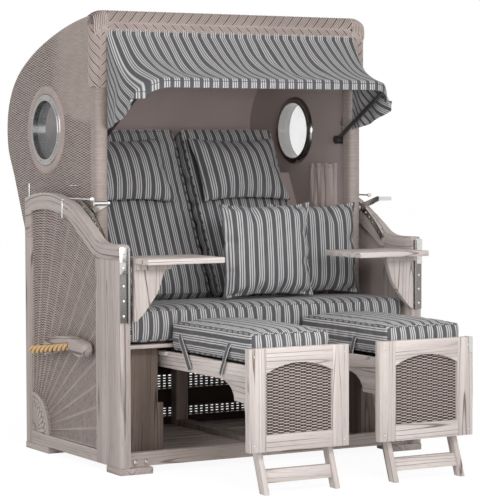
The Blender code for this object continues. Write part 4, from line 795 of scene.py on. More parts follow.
def makeSunburst(side, look):
    # a quarter disc in the lower rear corner, carved with rays inside a plain rim
    radius, hub, border = look["disc"], 0.20, 0.87

    def shape(u, v):
        reach = radius * np.clip(v / 0.94, 0, 1)
        angle = pi / 2 * u
        t = reach / radius
        turn = angle / (pi / 2) * look["rays"]
        inRay = np.abs(turn - np.floor(turn) - 0.5) * 2
        tip = 0.60 + 0.16 * np.cos(inRay * pi / 2)
        line = np.exp(-((1 - inRay) / 0.13) ** 2) * np.clip((t - hub) * 20, 0, 1)
        line *= np.clip((tip + 0.1 - t) * 20, 0, 1)
        for ring, width in ((tip, 0.022), (hub, 0.022), (border, 0.016)):
            line = np.maximum(line, np.exp(-((t - ring) / width) ** 2))
        bowl = 0.0022 * np.clip((border - t) * 20, 0, 1) * (1 - 0.6 * (1 - inRay ** 2) * (t < tip))
        back = np.where(v > 0.96, 0.038, 0.0)
        x = side * (look["outer"] - 0.0006 - bowl - 0.0026 * line - back)
        spots = circled(x, {"y": look["rear"], "z": look["rail"]}, reach, angle, -1)
        # the groove lines also mark where shade is painted into the wood
        return spots, {"carve": np.where(v > 0.96, 0.0, line)}

    quarter = gridPiece("sunburst", 150, 90, shape)
    faceAlong(quarter, (side, 0, 0))
    grainAlong(quarter, (0, 0.3, 1), (side * 2, 8, 1))
    return quarter


onBothSides(makeArm, armSet)
print("arm panels made")


def bevelledBoard(node, name, body, material, grain, bevel, offset):
    obj = copyNode(node, name)
    soften(obj, bevel)
    grainAlong(obj, grain, offset)
    finishPiece(obj, material, body, [node], 30)


footSet = {"centre": 0.253, "front": -0.983, "window": 0.128, "low": 0.194, "spring": 0.395, "crown": 0.428,
           "seam": 0.00015, "split": 0.30, "legInner": 0.1265, "legSlant": 0.367,
           "pitch": 0.0049, "stakeStep": 0.0213, "stakeWidth": 0.007, "courseWidth": 0.0047, "depth": 0.0024,
           "behind": 0.015}


def makeFootrestFront(side, name, look):
    # two stiles, an arched top rail and a bottom rail
    node = "footrest_front_" + name
    centre, edge, seam, split = side * look["centre"], look["window"], look["seam"], look["split"]
    between = [cut("x", centre - edge + seam, -1), cut("x", centre + edge - seam, 1)]
    panel = join("footrest_panel_" + name, [
        board(node, "stileLeft", [cut("x", centre - edge - seam, 1)], (0, 0, 1), (side * 3 + 1, 0, 0)),
        board(node, "stileRight", [cut("x", centre + edge + seam, -1)], (0, 0, 1), (side * 4 + 2, 1, 0)),
        board(node, "railTop", between + [cut("z", split, -1)], (1, 0, 0), (side * 5, 2, 0)),
        board(node, "railLow", between + [cut("z", split, 1)], (1, 0, 0), (side * 6, 3, 0)),
    ])
    finishPiece(panel, paleWood, "footrest_" + name, [node], 30)


def makeLeg(side, name, look):
    # two slanted legs and the crossbar, each with its own grain
    node = "footrest_leg_" + name
    centre, edge, seam = side * look["centre"], look["legInner"], look["seam"]
    slant = (0, look["legSlant"], 1)
    leg = join("folding_leg_" + name, [
        board(node, "legLeft", [cut("x", centre - edge - seam, 1)], slant, (side * 3, 4, 2)),
        board(node, "legRight", [cut("x", centre + edge + seam, -1)], slant, (side * 4, 5, 2)),
        board(node, "crossbar", [cut("x", centre - edge + seam, -1), cut("x", centre + edge - seam, 1)],
              (1, 0, 0), (side * 5, 6, 2)),
    ])
    finishPiece(leg, paleWood, "footrest_leg_" + name, [node], 30)


ropeArmSet = {"nose": (-0.155, 0.4185), "radius": 0.026, "half": 78, "facets": 12, "bevel": 0.0012}


def makeRopeArm(side, name, look):
    # the arched arm that carries the rope, its nose rounded off
    node = "rope_bracket_" + name
    arm = copyNode(node, "rope_arm_" + name)
    for number in range(look["facets"] + 1):
        turn = math.radians(-look["half"] + 2 * look["half"] * number / look["facets"])
        normal = (0, -math.cos(turn), math.sin(turn))
        spot = [look["nose"][axis] + look["radius"] * normal[axis + 1] for axis in range(2)]
        keepSide(arm, place(0, *spot), normal)
    soften(arm, look["bevel"], 40)
    grainAlong(arm, (0, 1, 0), (0, side * 6, 5))
    finishPiece(arm, postWood, "base", [node], 40)


def makeWindowWeave(side, name, look):
    # real strands over and under upright stakes, inside the window's opening
    centre = side * look["centre"]
    half, low, spring, crown = look["window"], look["low"], look["spring"], look["crown"]
    middle = look["front"] + look["behind"]
    pitch, stakeStep = look["pitch"], look["stakeStep"]
    radius = (half ** 2 + (crown - spring) ** 2) / (2 * (crown - spring))
    strands = []

    def topAt(x):
        return crown - radius + math.sqrt(max(radius ** 2 - x * x, 0))

    stakes = int(2 * half / stakeStep) + 1
    for number in range(stakes + 1):
        x = -half + number * stakeStep * 0.999
        if abs(x) > half + 0.001:
            continue
        route = [place(centre + x, middle, low - 0.002), place(centre + x, middle, topAt(x) + 0.001)]
        stake = strand(f"stake{number}", even(route, 4)[0], look["stakeWidth"], 0.0022, (0, -1, 0), 6)
        # the stakes get no crest, so they are painted in the strands' shade colour behind the courses
        setField(stake, "crest", np.zeros(len(stake.data.vertices)))
        strands.append(stake)
    level = low + pitch / 2
    index = 0
    while level < crown:
        reach = half
        if level > spring:
            reach = math.sqrt(max(radius ** 2 - (level - crown + radius) ** 2, 0))
        if reach > 0.012:
            xs = np.linspace(-reach - 0.001, reach + 0.001, max(int(2 * reach / stakeStep * 6), 6))
            wave = np.cos(pi * ((xs + half) / stakeStep + index))
            depth = np.sign(wave) * np.abs(wave) ** 0.7 * look["depth"]
            wobble = 0.0004 * np.sin(xs * 40 + index * 1.7)
            route = [place(centre + x, middle - d, level + w) for x, d, w in zip(xs, depth, wobble)]
            course = strand(f"course{index}", route, look["courseWidth"], look["depth"], (0, -1, 0), 6)
            # painted shade: the courses are darker where they dip back behind the stakes
            forward = (middle + shiftY - points(course)[:, 1]) / look["depth"]
            outward = np.sign(fieldValues(course, "crest") - 0.5)
            litShare = np.clip(0.66 + 0.4 * forward * np.where(outward == 0, 1, outward), 0.2, 1)
            setField(course, "crest", fieldValues(course, "crest") * litShare)
            strands.append(course)
        level += pitch
        index += 1
    weave = join("footrest_wicker_" + name, strands)
    finishPiece(weave, windowStrand, "footrest_" + name, ["footrest_weave_" + name], 60)
    # a dark sheet just behind the weave: painted shade of the footrest's inside
    shadeSheet = copyNode("footrest_weave_" + name, "footrest_shade_sheet_" + name)
    spots = points(shadeSheet)
    spots[:, 1] = middle + shiftY + (spots[:, 1] - spots[:, 1].mean()) * 0.12
    setPoints(shadeSheet, spots)
    finishPiece(shadeSheet, shadeSheetCloth, "footrest_" + name, (), 40)


for name, side in sides.items():
    makeFootrestFront(side, name, footSet)
    makeWindowWeave(side, name, footSet)
    bevelledBoard("footrest_tray_" + name, "footrest_carriage_" + name, "footrest_" + name, paleWood,
                  (0, 1, 0), 0.0015, (0, side * 2, 1))
    makeLeg(side, name, footSet)
    bevelledBoard("table_top_" + name, "swing_table_" + name, "table_" + name, paleWood,
                  (1, 0, 0), 0.003, (0, side * 4, 3))
    bevelledBoard("table_bracket_" + name, "table_support_" + name, "table_" + name, paleWood,
                  (0, 0, 1), 0.0012, (0, side * 5, 4))
    makeRopeArm(side, name, ropeArmSet)
    for part in ("foot_front_", "foot_rear_"):
        bevelledBoard(part + name, "block_" + part + name, "base", postWood, (0, 1, 0), 0.003, (side, 7, 6))
print("footrests, tables and handles made")


dressing = {"front_rail": crossWood, "floor_slats": crossWood, "seat_board": crossWood,
            "footrest_guide": uprightWood, "backrest_board": lining, "awning_bow": coated}
for name in sides:
    for node, material in (("seat_box_side_", seatBoxWood), ("hood_pin_", brushed), ("latch_rail_", brushed),
                           ("table_hinge_", hingeSteel), ("latch_lever_", chrome), ("porthole_glass_", pane)):
        dressing[node + name] = material
for node, material in dressing.items():
    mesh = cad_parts[node].data
    mesh.materials.clear()
    mesh.materials.append(material)
print("carried nodes dressed")


wickerSet = {"course": 0.0047, "stake": 0.0185, "rimCourse": 0.0052, "rimStake": 0.011}


def nearOn(line, spots):
    gaps = ((spots[:, None, :] - line[None, :, :]) ** 2).sum(axis=2)
    near = gaps.argmin(axis=1)
    return near, np.sqrt(gaps.min(axis=1))


def makeHoodWalls(look):
    for name in sides:
        wall = copyNode("hood_side_" + name, "hood_wall_" + name)
        spots = points(wall)
        layWeave(wall, spots[:, 1] / look["stake"], spots[:, 2] / look["course"])
        finishPiece(wall, hoodWicker, "hood", ["hood_side_" + name], 35)
    shell = copyNode("hood_shell", "hood_roof")
    spots = points(shell)
    line, length = even(hoodBack, 400)
    near, _ = nearOn(line, spots[:, 1:] - np.array([shiftY, 0]))
    travel = near / (len(line) - 1) * length
    layWeave(shell, spots[:, 0] / look["stake"], (hoodTop - travel) / look["course"])
    finishPiece(shell, hoodWicker, "hood", ["hood_shell"], 35)
    rim = copyNode("hood_rim", "hood_frame")
    spots = points(rim)
    layWeave(rim, (spots[:, 0] + spots[:, 1]) / look["rimStake"], spots[:, 2] / look["rimCourse"])
    finishPiece(rim, rimWicker, "hood", ["hood_rim"], 40)


hoodWicker = wovenWicker("hood_wicker", wickerLook, 0.0016, packed=True)
woundWicker = wovenWicker("wound_wicker", wickerLook, 0.0012, over=0.15)
# the rim's colours are painted light and shade in the same way: gap shade, side flanks, top highlight
rimLook = {"gap": tone(58, 47, 44), "side": tone(140, 127, 121), "top": tone(164, 151, 145)}
# under=True paints shade on the rim under the braid
rimWicker = wovenWicker("rim_wicker", rimLook, 0.0012, over=0.15, under=True)
makeHoodWalls(wickerSet)
print("hood walls made")


# the lines of the ridges in section: height or distance from the middle, and depth behind the hood's face
braidLines = {
    "up": [(1.580, 0), (1.598, -0.001), (1.612, 0.006), (1.6205, 0.020), (1.6215, 0.038), (1.618, 0.052)],
    "down": [(1.580, 0), (1.560, -0.001), (1.546, 0.001), (1.5370, 0.009), (1.5350, 0.022)],
    "out": [(0.542, 0), (0.556, -0.001), (0.568, 0.005), (0.5735, 0.020), (0.5730, 0.046)],
    "in": [(0.542, 0), (0.528, -0.001), (0.518, 0.004), (0.5145, 0.016), (0.5155, 0.030)],
}
# the same for what wraps back over a corner: how far inward, depth and height
cornerLine = [(0.006, 0.001, 1.548), (0, -0.0035, 1.566), (0, -0.003, 1.598), (0.001, 0.007, 1.6165),
              (0.002, 0.024, 1.6225), (0.002, 0.050, 1.6205)]
braidSet = {"pitch": 0.0387, "step": 0.0086, "ridges": 4, "width": 0.0058, "height": 0.0056, "face": -0.0925,
            "headRows": 32, "headStart": -0.585, "headHalf": 0.530, "postRows": 9, "postStart": 1.306,
            "postPitch": 0.92, "postSlope": 1.1, "postLow": 1.346, "postHigh": 1.578, "corners": 8}


def plaitStrand(name, cross, outward, start, slope, toSpace, look, keep):
    # one ridge from the middle line outwards over the edge, rising out from under its neighbour
    run, length = even(cross, 60)
    last, under = len(run) - 1, 0.003
    spots, ups = [], []
    for w in np.linspace(-under, length, 13):
        share = np.clip(w / length, 0, 1) * last
        spot, ahead, back = (np.array([np.interp(at, range(last + 1), run[:, axis]) for axis in range(2)])
                             for at in (share, min(share + 1.5, last), max(share - 1.5, 0)))
        way = ahead - back
        way /= np.linalg.norm(way)
        if w < 0:
            spot = spot + way * w
        out = np.array([way[1], -way[0]]) * outward
        dip = 0.75 * math.exp(-((w + under) / 0.005) ** 2)
        rise = look["height"] * (0.30 - dip - 0.5 * (w / length) ** 6)
        along = start + slope * max(w, -under)
        if not keep(along):
            continue
        spots.append(toSpace(along, *(spot + out * rise)))
        ups.append(toSpace(along, *(spot + out)) - toSpace(along, *spot))
    if len(spots) < 4:
        return None
    return strand(name, spots, look["width"], look["height"], np.array([tuple(up) for up in ups]), 8)


def makeBraid(look):
    face, pitch, step, ridges = look["face"], look["pitch"], look["step"], range(look["ridges"])
    lines = {key: smoothLine([(at, face + depth) for at, depth in line], 6)
             for key, line in braidLines.items()}
    strands = []

    def onHead(along, z, y):
        return place(along, y, z)

    def inHead(along):
        return abs(along) < look["headHalf"]

    def inPost(along):
        return look["postLow"] < along < look["postHigh"]

    for number, ridge in product(range(look["headRows"]), ridges):
        start = look["headStart"] + number * pitch + ridge * step
        for half, outward, shift in (("up", 1, 0.0), ("down", -1, pitch * 0.5)):
            strands.append(plaitStrand(f"head{half}{number}_{ridge}", lines[half], outward,
                                       start + shift, 1.0, onHead, look, inHead))
    for side in sides.values():
        def onPost(along, x, y):
            lift = max(along - 1.570, 0)
            return place(side * (x - (0.55 * lift if x > 0.556 else 0)), y, along)

        for number, ridge in product(range(look["postRows"]), ridges):
            start = look["postStart"] + number * pitch * look["postPitch"] + ridge * step * look["postPitch"]
            for half, outward, shift in (("out", 1, 0.0), ("in", -1, pitch * 0.46)):
                strands.append(plaitStrand(f"post{side}{half}{number}_{ridge}", lines[half], outward,
                                           start + shift, look["postSlope"], onPost, look, inPost))
        # the strands that wrap back over the corner
        for number in range(look["corners"]):
            x = 0.520 + number * 0.0070
            fall = max(x - 0.532, 0) ** 2 / 0.09
            route = smoothLine([tuple(place(side * (x - inward), face + depth, z - fall))
                                for inward, depth, z in cornerLine], 4)
            out = [(0, -1, 0.2 + 1.4 * n / len(route)) for n in range(len(route))]
            strands.append(strand(f"corner{side}{number}", route, 0.0066, 0.0050, np.array(out), 8))
    braid = join("hood_braid", [piece for piece in strands if piece])
    finishPiece(braid, braidStrand, "hood", (), 60)


makeBraid(braidSet)
print("braid plaited")


ringSet = {"y": 0.345, "z": 1.200, "inner": 0.133, "outer": 0.166, "face": 0.560, "rise": 0.0085}


def screwRing(look, count, start, x, reach, way, size):
    heads = []
    for number in range(count):
        angle = 2 * pi * (number + start) / count
        spot = place(x, look["y"] + reach * math.cos(angle), look["z"] + reach * math.sin(angle))
        heads.append(screwHead(f"ringScrew{number}", spot, (way, 0, 0), size))
    return heads


def makePortholeRing(side, name, look):
    middle = (look["inner"] + look["outer"]) / 2
    half = (look["outer"] - look["inner"]) / 2

    def shape(u, v):
        angle = 2 * pi * u
        turn = pi * v
        reach = middle - half * np.cos(turn)
        x = side * (look["face"] - 0.001 + look["rise"] * np.sin(turn) ** 0.7)
        return circled(x, look, reach, angle), {"weave": np.column_stack([0.5 + u * 0, 150.0 * u, u * 0])}

    ring = gridPiece("porthole_surround_" + name, 144, 8, shape, merge=False)
    faceAlong(ring, (side, 0, 0))
    finishPiece(ring, woundWicker, "hood", (), 60)
    screws = screwRing(look, 8, 0.5, side * 0.5680, 0.1225, side, 0.0042)
    finishPiece(join("porthole_screws_" + name, screws), brushed, "hood")


onBothSides(makePortholeRing, ringSet)
print("portholes dressed")


liningSet = {"hoodFace": 0.5312, "hoodProud": 0.0017, "armFace": 0.6048, "armProud": 0.0016, "half": 0.5275,
             "inward": 0.0318, "ripple": 0.0012, "cells": (48, 60)}


def makeLining(look):
    # cloth on the inner faces of the hood and of the arm panels, a little proud of them
    plates, armLiners = [], []
    for liners, node, part in ((plates, "hood_side_", "hood"), (armLiners, "side_weave_", "arm")):
        for name, side in sides.items():
            liner = copyNode(node + name, "liner_" + node + name)
            keepSide(liner, (side * look[part + "Face"], 0, 0), (side, 0, 0))
            setPoints(liner, points(liner) - np.array([side * look[part + "Proud"], 0, 0]))
            liners.append(liner)
    across, along = look["cells"]
    line = even(offsetLine(hoodBack, look["inward"]), along + 1)[0]

    def shape(u, v):
        index = np.rint(v * along).astype(int)
        pull = look["ripple"] * np.cos(2 * pi * (u * 6)) * np.sin(pi * v)
        return np.column_stack([(u - 0.5) * 2 * look["half"], line[index, 0] + shiftY + pull, line[index, 1]])

    roof = gridPiece("liningRoof", across, along, shape)
    faceAlong(roof, (0, -1, 0))
    plates.append(roof)
    finishPiece(join("hood_lining", plates), lining, "hood", (), 40)
    finishPiece(join("arm_lining", armLiners), lining, "base", (), 40)


def offsetLine(line, distance):
    line = np.asarray(line, dtype=float)
    run = heading(line)
    return line + np.column_stack([run[:, 1], -run[:, 0]]) * distance


makeLining(liningSet)
print("lining hung")


fanSet = {"y": 0.35, "z": 0.07, "start": 0.146, "ribs": 7.5, "course": 0.0048, "face": 0.6142, "rise": 0.0058,
          "front": -0.2115, "spare": 0.0025, "rail": 0.0585, "ribWidth": 0.85, "thick": 0.009,
          "cells": (216, 110)}


def makeFan(side, name, look):
    # the sunburst weave: rows round the corner, with raised ribs fanning out
    inner = even(offsetLine(armEdge, -look["rail"]), 300)[0]
    across, along = look["cells"]

    def reachAt(angle):
        wayY, wayZ = -math.cos(angle), math.sin(angle)
        best = 2.0
        if wayY < -1e-6:
            best = min(best, (look["front"] - look["spare"] - look["y"]) / wayY)
        for n in range(299):
            a, b = inner[n], inner[n + 1]
            cross = wayY * (b[1] - a[1]) - wayZ * (b[0] - a[0])
            if abs(cross) < 1e-9:
                continue
            t = ((a[0] - look["y"]) * (b[1] - a[1]) - (a[1] - look["z"]) * (b[0] - a[0])) / cross
            s = ((a[0] - look["y"]) * wayZ - (a[1] - look["z"]) * wayY) / cross
            if t > 0 and -0.01 <= s <= 1.01:
                best = min(best, t + look["spare"])
        return best

    reaches = np.array([reachAt(pi / 2 * n / across) for n in range(across + 1)])

    def shape(u, v):
        angle = pi / 2 * u
        far = reaches[np.rint(u * across).astype(int)]
        reach = look["start"] + (far - look["start"]) * v
        degrees = np.degrees(angle)
        gap = np.abs((degrees / look["ribs"] + 0.5) % 1 - 0.5) * look["ribs"]
        rib = np.exp(-(gap / look["ribWidth"]) ** 2) * np.clip(1.25 - reach, 0.5, 1)
        x = side * (look["face"] + look["rise"] * rib + 0.0004 * np.sin(degrees * 2.1 + reach * 60))
        # how strongly each rib is painted with highlight in the wicker's colour; it also lifts the rib's
        # weave height
        ribHighlight = np.clip(rib * 1.15 - 0.25, 0, 1)
        weave = np.column_stack([degrees / look["ribs"] * 3, reach / look["course"], ribHighlight])
        return circled(x, look, reach, angle, -1), {"weave": weave}

    fan = gridPiece("fan_weave_" + name, across, along, shape, merge=False)
    faceAlong(fan, (side, 0, 0))
    apply(fan, "SOLIDIFY", thickness=look["thick"], offset=-1)
    finishPiece(fan, wicker, "base", ["side_weave_" + name], 50)


onBothSides(makeFan, fanSet)
print("fan weave made")


rearSet = {"top": 0.60, "half": 0.585, "stakeWidth": 0.0120, "courseWidth": 0.0076, "course": 0.0102,
           "stake": 0.0235, "first": 0.01, "depth": 0.0034, "fieldStake": 0.021, "fieldCourse": 0.0046,
           "open": [(0.190, 0.246), (0.082, 0.122)], "y": 0.386}


def makeRearWall(look):
    half, first = look["half"], look["first"]
    boards = []
    ranges = [(0.0, look["open"][1][0]), (look["open"][1][1], look["open"][0][0]), (look["open"][0][1], 1.0)]
    for number, (low, high) in enumerate(ranges):
        obj = copyNode("rear_wall", f"rearBoard{number}")
        if low > 0:
            keepSide(obj, (0, 0, low), (0, 0, -1))
        if high < 1:
            keepSide(obj, (0, 0, high), (0, 0, 1))
        boards.append(obj)
    wall = join("rear_panel", boards)
    spots = points(wall)
    layWeave(wall, spots[:, 0] / look["fieldStake"], spots[:, 2] / look["fieldCourse"])
    finishPiece(wall, wicker, "base", ["rear_wall"], 30)
    strands = []
    count = int(2 * half / look["stake"])
    for low, high in look["open"]:
        for number in range(count + 1):
            x = -half + first + number * look["stake"]
            route = even([place(x, look["y"], z) for z in (low - 0.004, high + 0.004)], 3)[0]
            strands.append(strand(f"rearStake{low}{number}", route, look["stakeWidth"], 0.003, (0, -1, 0), 6))
        level = low + look["course"] / 2
        index = 0
        while level < high:
            xs = np.linspace(-half, half, count * 4 + 1)
            depth = np.cos(pi * ((xs + half - first) / look["stake"] + index)) * look["depth"]
            route = [place(x, look["y"] - d, level) for x, d in zip(xs, depth)]
            strands.append(strand(f"rearCourse{low}{index}", route, look["courseWidth"], 0.0024,
                                  (0, -1, 0), 6))
            level += look["course"]
            index += 1
    finishPiece(join("rear_lattice", strands), rearShadedStrand, "base", (), 60)
    # dark sheets on the inner face of the rear wall's boards: painted shade of the chair's inside
    face = points(wall)[:, 1].min() - shiftY
    liners = []
    for number, (low, high) in enumerate(ranges):
        liner = copyNode("rear_wall", f"rearShadeSheet{number}")
        keepSide(liner, place(0, face + 0.0012, 0), (0, 1, 0))
        keepSide(liner, (0, 0, low), (0, 0, -1))
        keepSide(liner, (0, 0, min(high, look["top"])), (0, 0, 1))
        setPoints(liner, points(liner) - np.array([0, 0.0016, 0]))
        liners.append(liner)
    finishPiece(join("rear_shade_sheet", liners), shadeSheetCloth, "base", (), 40)


makeRearWall(rearSet)
print("rear wall made")


def softBox(name, width, depth, height, cell, radius, wallRows=6):
    # a closed box of even cells with round edges, its seam rows marked, about its own centre
    nx, ny = max(int(width / cell), 4), max(int(depth / cell), 4)
    half = np.array([width, depth, height]) / 2
    columns, rows = nx + 2 * wallRows, 2 * (ny + 2 * wallRows)

    def along(index, inner):
        # the place from -1 to 1 across, and how far up the wall from 0 at the middle to 1 at the edge
        low = np.clip(index / wallRows, 0, 1)
        high = np.clip((inner + 2 * wallRows - index) / wallRows, 0, 1)
        return np.clip((index - wallRows) / inner, 0, 1) * 2 - 1, np.minimum(low, high)

    def shape(u, v):
        i = np.rint(u * columns)
        turn = np.rint(v * rows)
        top = turn <= rows / 2
        j = np.where(top, turn, rows - turn)
        x, upX = along(i, nx)
        y, upY = along(j, ny)
        up = np.minimum(upX, upY)
        z = np.where(top, 1.0, -1.0) * up
        cube = np.column_stack([x, y, z]) * half
        core = np.clip(cube, -(half - radius), half - radius)
        away = cube - core
        reach = np.linalg.norm(away, axis=1)[:, None]
        spots = core + away / np.maximum(reach, 1e-9) * np.minimum(reach, radius)
        spots = np.where(reach > 1e-9, core + away / np.maximum(reach, 1e-9) * radius, spots)
        atEdge = (np.abs(np.abs(x) - 1) < 1e-6) | (np.abs(np.abs(y) - 1) < 1e-6)
        return spots, {"seam": np.where((up > 0.999) & atEdge, 1.0, 0.0) * np.sign(z)}

    return gridPiece(name, columns, rows, shape)


def softPillow(name, width, height, cell, drawIn):
    # two sheets sewn round their edge, upright, nearly flat: the filling comes later
    nx, nz = int(width / cell), int(height / cell)

    def shape(u, v):
        turn = v * 2
        front = turn <= 1.0
        w = np.where(front, turn, 2 - turn) * 2 - 1
        s = u * 2 - 1
        puff = np.sqrt(np.clip((1 - s ** 4) * (1 - w ** 4), 0, 1)) * 0.5
        x = s * (width / 2 - drawIn * (1 - w * w))
        z = w * (height / 2 - drawIn * (1 - s * s))
        y = np.where(front, -1.0, 1.0) * puff * 0.06
        edge = np.where((np.abs(s) > 0.999) | (np.abs(w) > 0.999), 1.0, 0.0)
        return np.column_stack([x, y, z]), {"seam": edge}

    return gridPiece(name, nx, nz * 2, shape)


def filled(obj, look):
    # Blender's cloth swells the form with no gravity, its seams held, and what moves too far is held back
    before = points(obj)
    held = obj.vertex_groups.new(name="held")
    seam = np.abs(fieldValues(obj, "seam"))
    held.add([int(n) for n in np.nonzero(seam > 0.5)[0]], look["hold"], "REPLACE")
    modifier = obj.modifiers.new("filling", "CLOTH")
    settings = {"quality": 6, "mass": 0.25, "tension_stiffness": look["stretch"],
                "compression_stiffness": look["stretch"], "shear_stiffness": look["stretch"] * 0.5,
                "bending_stiffness": look["bend"], "use_pressure": True,
                "uniform_pressure_force": look["pressure"], "shrink_min": look["shrink"],
                "vertex_group_mass": "held", "pin_stiffness": 1.0}
    for key, value in settings.items():
        setattr(modifier.settings, key, value)
    modifier.settings.effector_weights.gravity = 0
    modifier.collision_settings.use_collision = False
    modifier.point_cache.frame_start = 1
    modifier.point_cache.frame_end = look["frames"]
    scene = bpy.context.scene
    for number in range(1, look["frames"] + 1):
        scene.frame_set(number)
    pick(obj)
    bpy.ops.object.modifier_apply(modifier=modifier.name)
    scene.frame_set(1)
    moved = points(obj) - before
    size = np.linalg.norm(moved, axis=1)
    cap = look["cap"]
    soft = cap * np.tanh(size / cap)
    setPoints(obj, before + moved * (soft / np.maximum(size, 1e-9))[:, None])
    obj.vertex_groups.clear()
    return obj


def turned(obj, lean):
    # leans the form back about X
    spots = points(obj)
    c, s = math.cos(lean), math.sin(lean)
    y = spots[:, 1] * c + spots[:, 2] * s
    z = spots[:, 2] * c - spots[:, 1] * s
    setPoints(obj, np.column_stack([spots[:, 0], y, z]))
    return obj


def fitted(obj, node):
    # the swollen form is brought to the place and size of its own solid
    low, high = (np.array(tuple(corner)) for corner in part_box(node))
    spots = points(obj)
    least, most = spots.min(axis=0), spots.max(axis=0)
    share = (high - low) / (most - least)
    setPoints(obj, (spots - (least + most) / 2) * share + (low + high) / 2)
    return obj


def seamCord(name, ring, radius):
    # piping: a thin closed cord along a row of points, covered in the same cloth
    loop = np.vstack([ring, ring[:2]])
    cord = strand(name, loop, radius * 2, radius * 2, (0, 0, 1), 8)
    setCloth(cord, lambda at, normals: (at[:, 0] + at[:, 1], at[:, 2]))
    return cord


def makeCushion(name, size, look):
    # size is width, depth and height, as if the cushion lay flat; the cloth's stripes run along its depth
    width, depth, height = size
    pad = softBox(name, width - 0.006, depth - 0.006, height - 0.006, look["cell"], look["radius"])

    def pattern(at, normals):
        end = (np.abs(normals[:, 0]) > 0.70) & (np.abs(normals[:, 2]) < 0.70)
        over = np.sign(at[:, 0]) * (width / 2 - look["radius"] * 0.4 + height / 2 - at[:, 2])
        return np.where(end, over, at[:, 0]), at[:, 1] + at[:, 2]

    setCloth(pad, pattern)
    spots = points(pad)
    u, v = 2 * spots[:, 0] / width, 2 * spots[:, 1] / depth
    above = spots[:, 2] / height + 0.5
    bulgeX, bulgeY = (np.clip(1 - share * share, 0, 1) for share in (u, v))
    spots[:, 2] += np.clip(above * 2 - 1, 0, 1) * look["crown"] * bulgeX * bulgeY
    spots[:, 0] *= 1 - bulgeY * look["drawIn"] / width
    spots[:, 1] *= 1 - bulgeX * look["drawIn"] / depth
    spots[:, 2] -= above * look["slope"] * v
    setPoints(pad, spots)
    filled(pad, look)
    subdivide(pad)
    marks = fieldValues(pad, "seam")
    spots = points(pad)
    cords = [pad]
    for mark in look["cords"]:
        ring = spots[np.abs(marks - mark) < 0.25]
        ring = ring[np.argsort(np.arctan2(ring[:, 1] / depth, ring[:, 0] / width))]
        share = ring[:, :2] / (np.array([width, depth]) / 2)
        push = np.column_stack([share ** 7, np.full(len(ring), mark * 0.7)])
        loop = even(ring + push * look["piping"] * 0.8, int(len(ring) * 0.9))[0]
        cords.append(seamCord(f"{name}Cord{mark}", loop, look["piping"]))
    pad = join(name, cords)
    if look["upright"]:
        spots = points(pad)
        setPoints(pad, np.column_stack([spots[:, 0], -spots[:, 2], spots[:, 1]]))
    return turned(pad, look["lean"])


def makePillow(name, size, look):
    width, height, thick = size
    pad = softPillow(name, width, height, look["cell"], look["drawIn"])
    setCloth(pad, lambda at, normals: (at[:, 0], at[:, 2]))
    filled(pad, look)
    spots = points(pad)
    share = np.array([width, thick, height]) / np.ptp(spots, axis=0)
    setPoints(pad, (spots - (spots.min(axis=0) + spots.max(axis=0)) / 2) * share)
    subdivide(pad)
    return turned(pad, look["lean"])


def finishPad(pad, node, body):
    fitted(pad, node)
    finishPiece(pad, cloth, body, [node], 60)
    return pad


cushionSet = {"pressure": 4.0, "shrink": -0.035, "hold": 1.0, "stretch": 12.0, "bend": 0.4, "frames": 20,
              "cap": 0.010, "radius": 0.016, "piping": 0.0024, "cell": 0.0140, "crown": 0.006,
              "drawIn": 0.004, "slope": 0.0, "lean": 0.0, "upright": False, "cords": [1, -1]}
pillowSet = {"pressure": 5.0, "shrink": -0.05, "hold": 0.55, "stretch": 8.0, "bend": 0.25, "frames": 22,
             "cap": 0.060, "cell": 0.0095, "drawIn": 0.010, "lean": math.radians(27)}

seat = makeCushion("seat_pad", (1.144, 0.460, 0.118), {**cushionSet, "slope": 0.0065})
finishPad(seat, "seat_cushion", "base")
backSet = {**cushionSet, "lean": math.radians(27), "upright": True, "cords": [1], "crown": 0.010}
backs = {"left": makeCushion("back_pad_left", (0.430, 0.710, 0.110), backSet)}
backs["right"] = twin(backs["left"], "back_pad_right")
rolls = {"left": makePillow("neck_roll_left", (0.380, 0.270, 0.090), pillowSet)}
rolls["right"] = twin(rolls["left"], "neck_roll_right", mirrorX=True)
throws = {"left": makePillow("scatter_pillow_left", (0.385, 0.350, 0.105), {
    **pillowSet, "lean": math.radians(5), "drawIn": 0.014})}
throws["right"] = twin(throws["left"], "scatter_pillow_right", mirrorX=True)
for name, side in sides.items():
    finishPad(backs[name], "back_cushion_" + name, "hood")
    finishPad(rolls[name], "neck_pillow_" + name, "hood")
    finishPad(throws[name], "throw_pillow_" + name, "base")
print("seat, back and pillows filled")


strapSet = {"middle": 0.0086, "width": 0.024, "thick": 0.0022, "length": 0.13, "routes": {
    "left": [
        [(-0.405, -0.464, 0.486), (-0.424, -0.464, 0.480), (-0.4265, -0.500, 0.430),
         (-0.4265, -0.538, 0.372)],
        [(-0.405, -0.812, 0.486), (-0.424, -0.812, 0.480), (-0.4265, -0.784, 0.430),
         (-0.4265, -0.754, 0.375)]],
    "right": [
        [(0.126, -0.755, 0.480), (0.1065, -0.755, 0.474), (0.1045, -0.745, 0.448),
         (0.1045, -0.736, 0.420)],
        [(0.126, -0.470, 0.480), (0.1065, -0.470, 0.474), (0.1045, -0.500, 0.430),
         (0.1045, -0.528, 0.378)]],
}}


